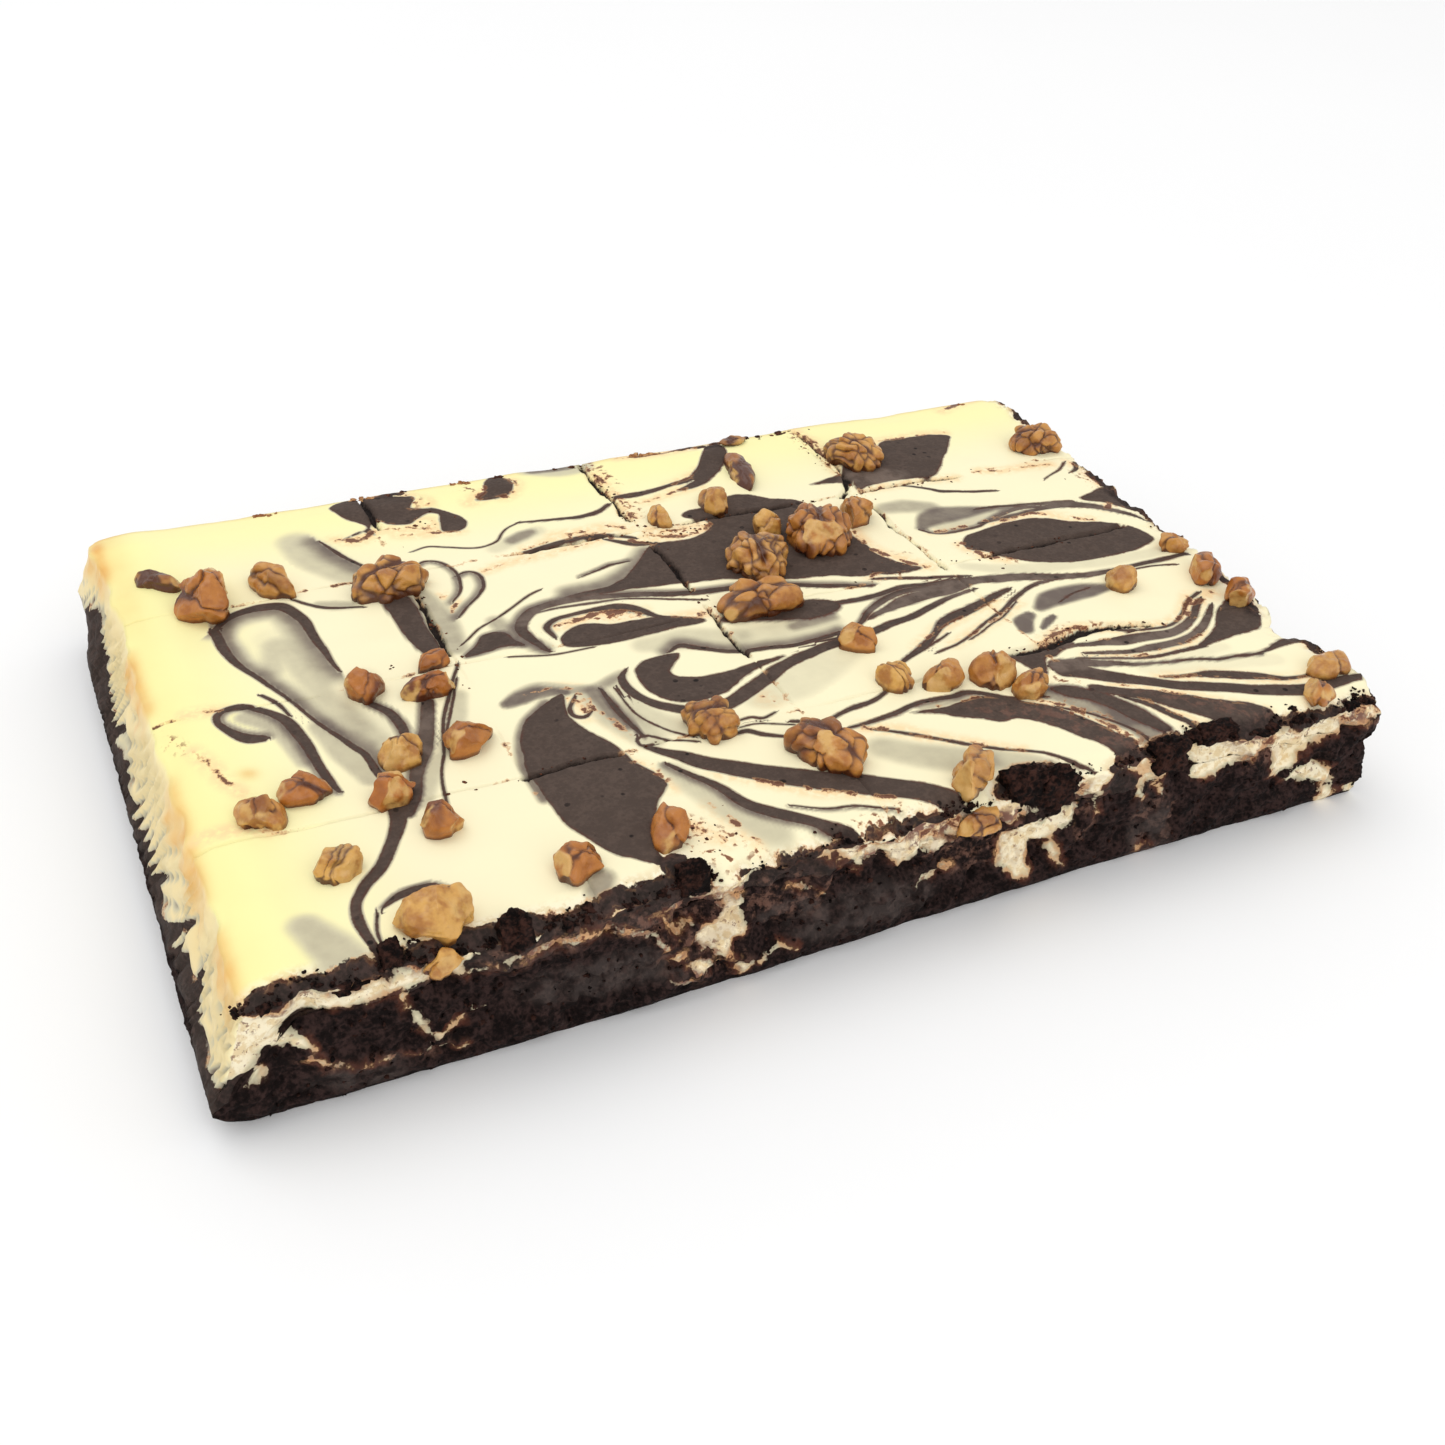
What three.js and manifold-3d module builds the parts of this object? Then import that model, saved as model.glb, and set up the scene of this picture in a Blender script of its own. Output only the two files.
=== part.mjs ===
// A slab of cream cheese brownie with a marbled top, scored for sixteen portions, and broken walnuts.
// Millimetres, +Z up. The origin is the middle of the flat underside, +X runs along the long side
// to the right, and +Y runs to the back. The left and back sides were baked against the pan's
// wall. The front and right sides are rough knife cuts.

import * as THREE from 'three';
import { mergeVertices } from 'three/addons/utils/BufferGeometryUtils.js';
import Module from 'manifold-3d';

const wasm = await Module();
wasm.setup();

// Driving dimensions
const LENGTH = 300;              // top face, left to right
const DEPTH = 197.4;             // top face, front to back
const HEIGHT = 35.4;             // underside to the top of the cheese layer
const CHEESE = 7.8;              // thickness of the cheese layer in the middle of the slab
const SKIRT_DEPTH = 26.5;        // how far the cheese runs down the two baked sides
const SKIRT_WIDTH = 11;          // how far in from a baked side the cheese is that deep
const BULGE = 8;                 // how far the dark base stands out past the cheese on the left
const BACK_BULGE = 4.5;          // the same on the back
const PAN_CORNER = 5;            // radius of the pan's corner, back left
const FOOT_ROUND = 8;            // more rounding of the foot at the front left corner
const GAP = 0.3;                 // clearance between touching solids

// The scored portions
const CUTS_X = [-73, 0, 75];
const CUTS_Y = [-50, 0, 50];
const GROOVE_HALF = 0.9;
const GROOVE_DEPTH = 2.4;

// How rough the cut faces are, and how the upper edges fall away
const CRAG = 1.7;
const CRAG_PITCH = 9;
const EDGE_LINES = [2.5, 7];     // grid lines near each edge, measured from it
const EDGE_REACH = 20;           // the crags of an edge die out over this distance
const GRID_STEP = 13.8;
const SIDE_ROWS = [1, 0.88, 0.7, 0.5, 0.28, 0.08, 0];

const LEFT = -LENGTH / 2;
const RIGHT = LENGTH / 2;
const FRONT = -DEPTH / 2;
const BACK = DEPTH / 2;

// Height against how far the baked side is set in from its bulge
const TOP_SET_IN = 9.5;
const PAN_SIDE = [[0, 6.5], [2, 2.8], [5, 0.6], [9, 0], [13, 1.6], [20, 4], [29, 7], [HEIGHT, TOP_SET_IN]];

// Small mathematical helpers
const clamp = (t) => Math.min(1, Math.max(0, t));
const smooth = (t) => clamp(t) * clamp(t) * (3 - 2 * clamp(t));
const hill = (t) => Math.exp(-t * t);
const mix = (a, b, t) => a + (b - a) * t;
const fract = (t) => t - Math.floor(t);
const hash = (i, j, k) => fract(Math.sin(i * 127.1 + j * 311.7 + k * 74.7) * 43758.5453);

// Smooth noise between -1 and 1
function noise(x, y, z = 0) {
  const [i, j, k] = [Math.floor(x), Math.floor(y), Math.floor(z)];
  const [u, v, w] = [smooth(x - i), smooth(y - j), smooth(z - k)];
  const row = (dj, dk) => mix(hash(i, j + dj, k + dk), hash(i + 1, j + dj, k + dk), u);
  const sheet = (dk) => mix(row(0, dk), row(1, dk), v);
  return 2 * mix(sheet(0), sheet(1), w) - 1;
}

// A repeatable stream of numbers from 0 to 1
function drawer(seed) {
  let count = 0;
  return () => hash(seed, count++, seed * 0.37);
}

function along(profile, z) {
  const above = Math.max(1, profile.findIndex(([height]) => height >= z));
  const [[z0, a], [z1, b]] = [profile[above - 1], profile[above]];
  return mix(a, b, clamp((z - z0) / (z1 - z0)));
}

// The outline of the slab at a height, side by side
const crag = (a, z, seed) => CRAG * (noise(a / CRAG_PITCH, z / CRAG_PITCH, seed)
  + 0.6 * noise(a / 3.6, z / 3.6, seed + 5));

function leftSide(y, z) {
  const foot = FOOT_ROUND * hill((y - FRONT) / 16) * clamp(1 - z / 7);
  const pleat = 0.8 * Math.sin(y / 2.9) * clamp((z - 8) / 8);
  return LEFT - BULGE + along(PAN_SIDE, z) + foot + pleat;
}

function backSide(x, z) {
  const setIn = along(PAN_SIDE, z) * BACK_BULGE / TOP_SET_IN;
  return BACK + BACK_BULGE - setIn + 0.6 * noise(x / 11, z / 9, 3);
}

function rightSide(y, z) {
  const slant = 4.5 + 0.045 * y + 3 * (1 - z / HEIGHT);
  const chip = 9 * hill((y + 64) / 6) * smooth(z / 20);
  return RIGHT + slant - chip + crag(y, z, 11);
}

function frontSide(x, z) {
  return FRONT + 0.7 * Math.sin(x / 37) + crag(x, z, 23) + 1.5 * clamp(1 - z / 3);
}

// Where a point of the plain rectangle goes once the sides are shaped
function place(x, y, z, grow) {
  const near = (distance) => 1 - smooth(distance / EDGE_REACH);
  let px = x + (leftSide(y, z) - grow - LEFT) * near(x - LEFT)
    + (rightSide(y, z) + grow - RIGHT) * near(RIGHT - x);
  let py = y + (frontSide(x, z) - grow - FRONT) * near(y - FRONT)
    + (backSide(x, z) + grow - BACK) * near(BACK - y);
  const [a, b] = [(LEFT + PAN_CORNER - x) / PAN_CORNER, (y - BACK + PAN_CORNER) / PAN_CORNER];
  if (a > 0 && b > 0) {
    px += PAN_CORNER * a * (1 - Math.sqrt(1 - b * b / 2));
    py -= PAN_CORNER * b * (1 - Math.sqrt(1 - a * a / 2));
  }
  return [px, py, z];
}

// The upper surface: gentle waves, edges that fall away, and a groove at each score
const groove = (offset) => GROOVE_DEPTH * clamp(1 - Math.abs(offset) / GROOVE_HALF);

function topHeight(x, y, scored) {
  const waves = 0.55 * noise(x / 26, y / 22, 1) + 0.35 * noise(x / 11, y / 9, 2);
  const falls = 2.6 * (1 - smooth((x - LEFT) / 7)) + 0.8 * (1 - smooth((BACK - y) / 7))
    + 2.8 * (1 - smooth((y - FRONT) / 6)) + 1.2 * (1 - smooth((RIGHT - x) / 6));
  const rim = 0.9 * hill((x - LEFT - 12) / 7) + 0.7 * hill((BACK - 9 - y) / 5);
  const scores = Math.max(...CUTS_X.map((cut) => groove(x - cut)), ...CUTS_Y.map((cut) => groove(y - cut)));
  return HEIGHT + waves + rim - falls - (scored ? scores : 0);
}

// Where the cheese layer ends and the dark base begins
function cheeseFloor(x, y) {
  const skirt = (distance) => 1 - smooth((distance + BULGE) / (SKIRT_WIDTH + BULGE));
  const deep = Math.max(skirt(x - LEFT), skirt(BACK - y));
  const dips = 1.4 * noise(x / 19, y / 17, 7) + 1.2 * hill((y - FRONT) / 14);
  return HEIGHT - CHEESE - dips - (SKIRT_DEPTH - CHEESE) * deep;
}

// Closed meshes from rows of points, and solids from closed meshes
function toSolid(geometry) {
  const bare = geometry.clone();
  bare.deleteAttribute('normal');
  bare.deleteAttribute('uv');
  const merged = mergeVertices(bare, 1e-4);
  return new wasm.Manifold(new wasm.Mesh({
    numProp: 3,
    vertProperties: Float32Array.from(merged.attributes.position.array),
    triVerts: Uint32Array.from(merged.index.array),
  }));
}

function toGeometry(solid) {
  const { vertProperties, triVerts } = solid.getMesh();
  const geometry = new THREE.BufferGeometry();
  geometry.setAttribute('position', new THREE.BufferAttribute(Float32Array.from(vertProperties), 3));
  geometry.setIndex(new THREE.BufferAttribute(Uint32Array.from(triVerts), 1));
  geometry.computeVertexNormals();
  return geometry;
}

const joined = (solids) => solids.reduce((whole, solid) => whole.add(solid));
const largest = (solid) => solid.decompose().sort((a, b) => b.volume() - a.volume())[0];

// Grid lines from one edge to the other, with a fine pair beside each score
function gridLines(low, high, cuts) {
  const starts = [low + EDGE_LINES[1], ...cuts.map((cut) => cut + GROOVE_HALF)];
  const ends = [...cuts.map((cut) => cut - GROOVE_HALF), high - EDGE_LINES[1]];
  const lines = [low, low + EDGE_LINES[0]];
  starts.forEach((start, n) => {
    const steps = Math.round((ends[n] - start) / GRID_STEP);
    for (let i = 0; i <= steps; i++) lines.push(mix(start, ends[n], i / steps));
    if (n < cuts.length) lines.push(cuts[n]);
  });
  return [...lines, high - EDGE_LINES[0], high];
}

// A block over a grid: a shaped top, side rows below its rim, and a flat underside
function blockOver(xs, ys, rows, pointAt, middle) {
  const [nx, ny] = [xs.length - 1, ys.length - 1];
  const points = [];
  const faces = [];
  const at = (i, j) => j * (nx + 1) + i;
  ys.forEach((y) => xs.forEach((x) => points.push(...pointAt(x, y, rows[0]))));
  for (let j = 0; j < ny; j++) {
    for (let i = 0; i < nx; i++) {
      faces.push(at(i, j), at(i + 1, j), at(i + 1, j + 1), at(i, j), at(i + 1, j + 1), at(i, j + 1));
    }
  }
  const rim = [];
  for (let i = 0; i < nx; i++) rim.push([i, 0]);
  for (let j = 0; j < ny; j++) rim.push([nx, j]);
  for (let i = nx; i > 0; i--) rim.push([i, ny]);
  for (let j = ny; j > 0; j--) rim.push([0, j]);
  let upper = rim.map(([i, j]) => at(i, j));
  rows.slice(1).forEach((row) => {
    const lower = rim.map(([i, j]) => {
      points.push(...pointAt(xs[i], ys[j], row));
      return points.length / 3 - 1;
    });
    rim.forEach((_, k) => {
      const next = (k + 1) % rim.length;
      faces.push(upper[k], lower[k], lower[next], upper[k], lower[next], upper[next]);
    });
    upper = lower;
  });
  points.push(...middle);
  const centre = points.length / 3 - 1;
  rim.forEach((_, k) => faces.push(centre, upper[(k + 1) % rim.length], upper[k]));
  const geometry = new THREE.BufferGeometry();
  geometry.setAttribute('position', new THREE.Float32BufferAttribute(points, 3));
  geometry.setIndex(faces);
  return toSolid(geometry);
}

// The whole slab, or the slab grown by a clearance for what lies on it, without its scores
function slabBody(grow) {
  const xs = gridLines(LEFT, RIGHT, CUTS_X);
  const ys = gridLines(FRONT, BACK, CUTS_Y);
  const pointAt = (x, y, row) => place(x, y, row * (topHeight(x, y, !grow) + grow), grow);
  return blockOver(xs, ys, SIDE_ROWS, pointAt, [0, 0, 0]);
}

// Everything above the cheese layer's floor, as a block wider and higher than the slab
function cheeseRegion(lift) {
  const margin = 14;
  const fine = [-14, -9, -4, 1, 6, 12];
  const coarse = (low, high, steps) => Array.from({ length: steps + 1 }, (_, i) => mix(low, high, i / steps));
  const xs = [...fine.map((d) => LEFT + d), ...coarse(LEFT + 26, RIGHT + margin, 12)];
  const ys = [...coarse(FRONT - margin, BACK - 24, 8), ...fine.map((d) => BACK - d).reverse()];
  const below = 10;
  const pointAt = (x, y, row) => [x, y, row ? cheeseFloor(x, y) + lift : -below];
  return blockOver(xs, ys, [1, 0], pointAt, [0, 0, -below]);
}

// A rough lump: an icosahedron pushed in and out by noise
function lump([x, y, z], [a, b, c], seed, detail = 1, roughness = 0.28) {
  const geometry = new THREE.IcosahedronGeometry(1, detail);
  const position = geometry.attributes.position;
  const dir = new THREE.Vector3();
  for (let i = 0; i < position.count; i++) {
    dir.fromBufferAttribute(position, i);
    const radius = 1 + roughness * noise(dir.x * 1.9 + seed, dir.y * 1.9 + seed * 0.7, dir.z * 1.9);
    position.setXYZ(i, x + dir.x * a * radius, y + dir.y * b * radius, z + dir.z * c * radius);
  }
  return toSolid(geometry);
}

// Holes torn out of the cut front face: place along it, height, half width and half height
const TORN_HOLES = [
  [-54.5, 23, 3.2, 4.2], [-49, 25, 3.2, 3.4], [-44, 7, 3, 2.6], [-32, 12, 8.5, 3.6], [-3, 23.5, 3.6, 3.4],
  [5.5, 19.5, 4.2, 2.8], [45, 12, 3.4, 3], [87.5, 27.5, 3, 3.4], [124, 22, 3, 3], [134, 17, 4.4, 3.4],
];
const HOLE_DEPTH = 3.4;
const WIDE_HOLE = 3.5;           // holes wider than this get finer faces

function tornHoles() {
  const front = TORN_HOLES.map(([x, z, a, c], n) => (
    lump([x, FRONT - 0.6, z], [a, HOLE_DEPTH, c], n + 3, a > WIDE_HOLE ? 1 : 0)
  ));
  const right = [-84, -38, -8, 22, 47, 78].map((y, n) => (
    lump([RIGHT + 6 + y * 0.045, y, 9 + 17 * hash(n, 4, 9)], [HOLE_DEPTH, 4.5, 3.2], n + 30, 0)
  ));
  return joined([...front, ...right]);
}

// Crumbs of the base dragged up over the front edge by the knife, and larger torn blocks beside them
const DRAGGED_BLOCKS = [
  [-92.5, 35, 3.6, 3.4], [-51, 34.5, 4.4, 4.6], [38, 33, 6, 5.4], [46, 31, 6.5, 5], [80, 33, 5.2, 4.6],
  [97, 33.5, 7.5, 3],
];

function draggedCrumbs(grow) {
  const draw = drawer(17);
  const solids = DRAGGED_BLOCKS.map(([x, z, a, c], n) => (
    lump([x, FRONT + 1.2, z], [a + grow, 3.6 + grow, c + grow], n + 50)
  ));
  for (let x = LEFT + 4; x < RIGHT - 6; x += 12 + 9 * draw()) {
    const size = (x < -52 ? 2.4 : 1.7) + 1.4 * draw();
    const y = FRONT + 1 + 1.6 * draw();
    const blob = lump([x, y, HEIGHT - 2 + draw()], [size * 1.5 + grow, size + grow, size + grow], x, 0);
    solids.push(blob);
  }
  return joined(solids);
}

// The walnuts: form, place on the top, length, width, height above the cheese, and turn in degrees
const WALNUTS = [
  { form: 'half', at: [47.5, 26.5], size: [24, 20, 11], turn: 62 },
  { form: 'half', at: [23.5, 19.5], size: [21, 18, 10], turn: 80 },
  { form: 'half', at: [13.5, -1.5], size: [26, 14, 8.5], turn: 4 },
  { form: 'half', at: [84.5, 71], size: [20, 16, 9], turn: 118 },
  { form: 'half', at: [-79, 43], size: [24, 15, 9], turn: 14 },
  { form: 'half', at: [147.5, 58.5], size: [18, 13, 8.5], turn: 168 },
  { form: 'half', at: [-24, -49], size: [14.5, 13, 8], turn: 100 },
  { form: 'half', at: [-2.5, -69], size: [22, 13, 9], turn: 118 },
  { form: 'chunk', at: [-125.5, 51.5], size: [26, 17, 12], turn: 82 },
  { form: 'sliver', at: [-136.5, 65.5], size: [15, 6, 5.5], turn: 140 },
  { form: 'sliver', at: [-108, 54.5], size: [17, 9, 7.5], turn: 128 },
  { form: 'chunk', at: [-98.5, -2.5], size: [13, 10.5, 7.5], turn: 60 },
  { form: 'chunk', at: [-82.5, -8.5], size: [16, 10, 6.5], turn: 12 },
  { form: 'chunk', at: [-79, 2.5], size: [11, 8, 5.5], turn: 20 },
  { form: 'chunk', at: [-82, -33], size: [15.5, 12.5, 7.5], turn: 40 },
  { form: 'chunk', at: [-97.5, -33.5], size: [14.5, 10.5, 6.5], turn: 8 },
  { form: 'chunk', at: [-103, -46], size: [14.5, 10.5, 7.5], turn: 35 },
  { form: 'chunk', at: [-121.5, -38.5], size: [15.5, 10.5, 6.5], turn: 160 },
  { form: 'chunk', at: [-133, -44.5], size: [13.5, 11.5, 7], turn: 110 },
  { form: 'chunk', at: [-97, -61.5], size: [14, 10, 6.5], turn: 150 },
  { form: 'chunk', at: [-121.5, -67.5], size: [13, 11.5, 7], turn: 85 },
  { form: 'chunk', at: [-106.5, -91], size: [22, 13, 8], turn: 165 },
  { form: 'chunk', at: [-74, -86], size: [14.5, 11, 6.5], turn: 25 },
  { form: 'chunk', at: [7.5, 53.5], size: [11.5, 10, 5.5], turn: 90 },
  { form: 'chunk', at: [27.5, 56.5], size: [14, 12, 7], turn: 50 },
  { form: 'sliver', at: [45, 76], size: [28, 8, 4], turn: 76 },
  { form: 'chunk', at: [35, 35.5], size: [13, 10.5, 8.5], turn: 65 },
  { form: 'chunk', at: [65, 34.5], size: [19, 11, 8], turn: 58 },
  { form: 'chunk', at: [29, -28.5], size: [12.5, 10, 6.5], turn: 140 },
  { form: 'chunk', at: [29.5, -48.5], size: [14, 10, 7], turn: 125 },
  { form: 'chunk', at: [42, -52.5], size: [15, 12, 7.5], turn: 30 },
  { form: 'chunk', at: [55, -54.5], size: [14.5, 12.5, 8.5], turn: 120 },
  { form: 'chunk', at: [61, -64], size: [13.5, 10, 6.5], turn: 30 },
  { form: 'chunk', at: [-50.5, -83.5], size: [16.5, 10, 7], turn: 68 },
  { form: 'chunk', at: [24, -92], size: [18, 12.5, 10], turn: 30 },
  { form: 'sliver', at: [51.5, 94.8], size: [13, 4.5, 3], turn: 14 },
  { form: 'chunk', at: [119.5, -26.5], size: [12.5, 10.5, 6.5], turn: 60 },
  { form: 'chunk', at: [147.5, -15.5], size: [14, 9.5, 6], turn: 15 },
  { form: 'chunk', at: [145, -32.5], size: [16.5, 11.5, 7.5], turn: 55 },
  { form: 'chunk', at: [146.5, -47], size: [13.5, 10.5, 6.5], turn: 30 },
  { form: 'sliver', at: [144, -85], size: [15, 10, 4.5], turn: 10 },
  { form: 'sliver', at: [131.5, -95], size: [11, 7.5, 5], turn: 55 },
  { form: 'chunk', at: [-108.5, FRONT + 0.6], size: [13, 10, 4], turn: 0, centre: 32 },
  { form: 'chunk', at: [24, FRONT + 0.4], size: [20, 11, 5.5], turn: 0, centre: 29.5 },
];
const SUNK = 0.7;                // half the height of a whole piece, as a share of what shows
const LARGE_PIECE = 19.5;        // pieces as long as this get finer faces, as the halves do

// A broken piece has flat faces and rounded edges: the faces point the ways of a loose spiral
const FACETS = 10;
const SPIRAL_TURN = 2.4;
const SHARPNESS = 11;

function brokenRadius(d, seed) {
  const draw = drawer(seed);
  let sum = 0;
  for (let n = 0; n < FACETS; n++) {
    const up = 1 - 2 * (n + 0.5) / FACETS;
    const turn = n * SPIRAL_TURN + 1.1 * draw();
    const out = Math.sqrt(1 - up * up);
    const facing = d.x * out * Math.cos(turn) + d.y * out * Math.sin(turn) + d.z * up;
    sum += Math.max(0, facing / (0.66 + 0.34 * draw())) ** SHARPNESS;
  }
  return Math.min(1.12, sum ** (-1 / SHARPNESS));
}

// How far a walnut's surface lies from its middle, in a direction of its own: x along, y across
const walnutForm = {
  half: (d, seed) => 1 - 0.2 * hill(d.y / 0.17) * clamp(d.z * 2)
    + 0.13 * Math.sin(d.x * 8.5 + Math.sign(d.y) * 1.1 + seed) * clamp(Math.abs(d.y) * 2.2)
    + 0.1 * noise(d.x * 2 + seed, d.y * 2, d.z * 2),
  chunk: (d, seed) => brokenRadius(d, seed)
    + 0.14 * noise(d.x * 2.4 + seed * 3.1, d.y * 2.4, d.z * 2.4),
  sliver: (d, seed) => 1 - 0.12 * hill(d.y / 0.3) * clamp(d.z * 2)
    + 0.15 * noise(d.x * 2.6 + seed, d.y * 1.8, d.z * 1.8),
};

function walnutBody({ form, at: [x, y], size: [length, width, height], turn, centre }, seed, grow) {
  const detail = form === 'half' || length >= LARGE_PIECE ? 2 : 1;
  const geometry = new THREE.IcosahedronGeometry(1, detail);
  const position = geometry.attributes.position;
  const dir = new THREE.Vector3();
  for (let i = 0; i < position.count; i++) {
    dir.fromBufferAttribute(position, i);
    position.setXYZ(i, ...dir.multiplyScalar(walnutForm[form](dir, seed)).toArray());
  }
  const half = height * SUNK;
  geometry.scale(length / 2 + grow, width / 2 + grow, half + grow);
  geometry.rotateZ(THREE.MathUtils.degToRad(turn));
  geometry.translate(x, y, centre ?? HEIGHT + height - half);
  return toSolid(geometry);
}

// The food itself
const holes = tornHoles();
const body = slabBody(0).add(draggedCrumbs(0)).subtract(holes);
const base = largest(body.intersect(cheeseRegion(-GAP / 2)));
const cheese = largest(body.subtract(cheeseRegion(GAP / 2)));
const clearance = slabBody(GAP).add(draggedCrumbs(GAP));

const materials = {
  brownie: new THREE.MeshStandardMaterial({ color: 0x30221f, roughness: 0.85, metalness: 0 }),
  cheese: new THREE.MeshStandardMaterial({ color: 0xf6edc6, roughness: 0.45, metalness: 0 }),
  walnut: new THREE.MeshStandardMaterial({ color: 0xb98450, roughness: 0.5, metalness: 0 }),
};

const brownie = new THREE.Group();

function addPiece(name, solid, material) {
  const mesh = new THREE.Mesh(toGeometry(solid), material);
  mesh.name = name;
  brownie.add(mesh);
}

addPiece('brownie_base', base, materials.brownie);
addPiece('cream_cheese_layer', cheese, materials.cheese);

// Each walnut is cut clear of the slab and of the walnuts that were laid before it
WALNUTS.forEach((walnut, n) => {
  const near = WALNUTS.slice(0, n).map((other, m) => [other, m]).filter(([other]) => (
    Math.hypot(other.at[0] - walnut.at[0], other.at[1] - walnut.at[1]) < (other.size[0] + walnut.size[0]) / 2
  ));
  const whole = walnutBody(walnut, n + 1, 0).subtract(clearance);
  const solid = near.reduce((left, [other, m]) => left.subtract(walnutBody(other, m + 1, GAP)), whole);
  addPiece(`walnut_${walnut.form}_${String(n + 1).padStart(2, '0')}`, largest(solid), materials.walnut);
});

export default brownie;
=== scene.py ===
"""A slab of cream cheese brownie, scored for sixteen portions, with broken walnuts on its marbled top.

Lengths in the tables and shape functions are millimetres in the frame's own axes, and meshes are
made in metres. A field is a number for each vertex: how many millimetres inside a mark it lies."""

import itertools
import math

import bmesh
import bpy
import numpy as np
from mathutils import Matrix, Vector
from mathutils.bvhtree import BVHTree


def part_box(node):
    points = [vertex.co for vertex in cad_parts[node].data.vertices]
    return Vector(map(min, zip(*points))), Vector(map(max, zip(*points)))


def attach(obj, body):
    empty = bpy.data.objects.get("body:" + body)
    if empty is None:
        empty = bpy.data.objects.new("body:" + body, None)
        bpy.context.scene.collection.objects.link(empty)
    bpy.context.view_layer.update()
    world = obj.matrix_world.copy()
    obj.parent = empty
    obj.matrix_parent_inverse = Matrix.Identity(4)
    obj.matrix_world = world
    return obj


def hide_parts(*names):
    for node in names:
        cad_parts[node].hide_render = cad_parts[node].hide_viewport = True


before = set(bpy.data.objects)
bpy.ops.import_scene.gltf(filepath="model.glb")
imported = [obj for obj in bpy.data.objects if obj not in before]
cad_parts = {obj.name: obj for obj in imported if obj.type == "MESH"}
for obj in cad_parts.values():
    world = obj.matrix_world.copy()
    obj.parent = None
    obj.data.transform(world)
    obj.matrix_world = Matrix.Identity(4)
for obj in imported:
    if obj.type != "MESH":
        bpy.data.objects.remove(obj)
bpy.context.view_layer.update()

# The slab's driving sizes, the same as its solids have
LENGTH, DEPTH, HEIGHT = 300, 197.4, 35.4
CHEESE, SKIRT_DEPTH, SKIRT_WIDTH = 7.8, 26.5, 11
BULGE, BACK_BULGE, TOP_SET_IN = 8, 4.5, 9.5
PAN_CORNER, FOOT_ROUND = 2, 8
CUTS_X, CUTS_Y = (-73, 0, 75), (-50, 0, 50)
GROOVE_DEPTH = 2.2
EDGE_REACH = 20
CRAG, CRAG_PITCH = 1.7, 9
LEFT, RIGHT, FRONT, BACK = -LENGTH / 2, LENGTH / 2, -DEPTH / 2, DEPTH / 2
PAN_SIDE = ((0, 2, 5, 9, 13, 16, 20, 29, HEIGHT), (6.5, 2.8, 0.6, 0, 2, 3.3, 4.7, 7.3, TOP_SET_IN))
CORNER_SIDE = ((0, 5, 12, 20, 30, HEIGHT), (7, 5, 3.8, 2.7, 6, 7))    # at the back left corner

MM = 0.001
FAR = 8.0            # a field stops counting this far from its mark
TOP_STEP = 0.95      # mesh spacing on the top
FINE_STEP = 0.4      # and beside the scores
FINE_REACH = 2.0     # how far beside them
SIDE_STEP = 0.75     # mesh spacing on the sides
STROKE_GUARD = 0.7   # a place farther than this outside a line's edge is never in it


# Small mathematical helpers

def clamp(t):
    return np.clip(t, 0, 1)


def smooth(t):
    t = clamp(t)
    return t * t * (3 - 2 * t)


def hill(t):
    return np.exp(-np.square(t))


def mix(a, b, t):
    return a + (b - a) * t


def lattice(i, j, k):
    t = np.sin(i * 127.1 + j * 311.7 + k * 74.7) * 43758.5453
    return t - np.floor(t)


def noise(x, y, z=0.0):
    """Smooth noise between -1 and 1."""
    x, y, z = np.broadcast_arrays(np.asarray(x, float), y, z)
    i, j, k = np.floor(x), np.floor(y), np.floor(z)
    u, v, w = smooth(x - i), smooth(y - j), smooth(z - k)

    def row(dj, dk):
        return mix(lattice(i, j + dj, k + dk), lattice(i + 1, j + dj, k + dk), u)

    def sheet(dk):
        return mix(row(0, dk), row(1, dk), v)

    return 2 * mix(sheet(0), sheet(1), w) - 1


def rough(x, y, z=0.0, octaves=3):
    """Several sizes of noise added up, each half as large and half as strong."""
    total = 0
    for n in range(octaves):
        total = total + noise(x * 2**n + 17 * n, y * 2**n - 9 * n, z * 2**n + 5 * n) / 2**n
    return total


def cells(x, y, z=0.0):
    """Distances to the nearest and the second nearest of points scattered one to a cell."""
    x, y, z = np.broadcast_arrays(np.asarray(x, float), y, z)
    first = np.full(x.shape, 9.0)
    second = first.copy()
    for step in itertools.product((-1, 0, 1), repeat=3):
        i, j, k = (np.floor(c) + s for c, s in zip((x, y, z), step))
        gap = np.sqrt(np.square(i + lattice(i, j, k) - x) + np.square(j + lattice(j, k, i + 0.5) - y)
                      + np.square(k + lattice(k, i, j + 0.7) - z))
        second = np.minimum(second, np.maximum(first, gap))
        first = np.minimum(first, gap)
    return first, second


def puffs(x, y, z=0.0, valley=0.5):
    """Rounded lobes with narrow valleys between them: 0 in a valley and 1 on a lobe."""
    first, second = cells(x, y, z)
    return np.sqrt(clamp((second - first) / valley))


# The form of the slab

def crag(a, z, seed):
    rough_up = noise(a / CRAG_PITCH, z / CRAG_PITCH, seed) + 0.6 * noise(a / 3.6, z / 3.6, seed + 5)
    return CRAG * rough_up * mix(0.12, 1, smooth(z / 6))


def left_side(y, z):
    foot = FOOT_ROUND * hill((y - FRONT) / 16) * clamp(1 - z / 7)
    lip = (0.9 * noise(y / 9, 4.0) + 0.4 * noise(y / 3.5, 6.0)) * smooth((z - 22) / 12)
    set_in = mix(np.interp(z, *PAN_SIDE), np.interp(z, *CORNER_SIDE), smooth((y - 76) / 20))
    return LEFT - BULGE + set_in + foot + lip


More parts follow.
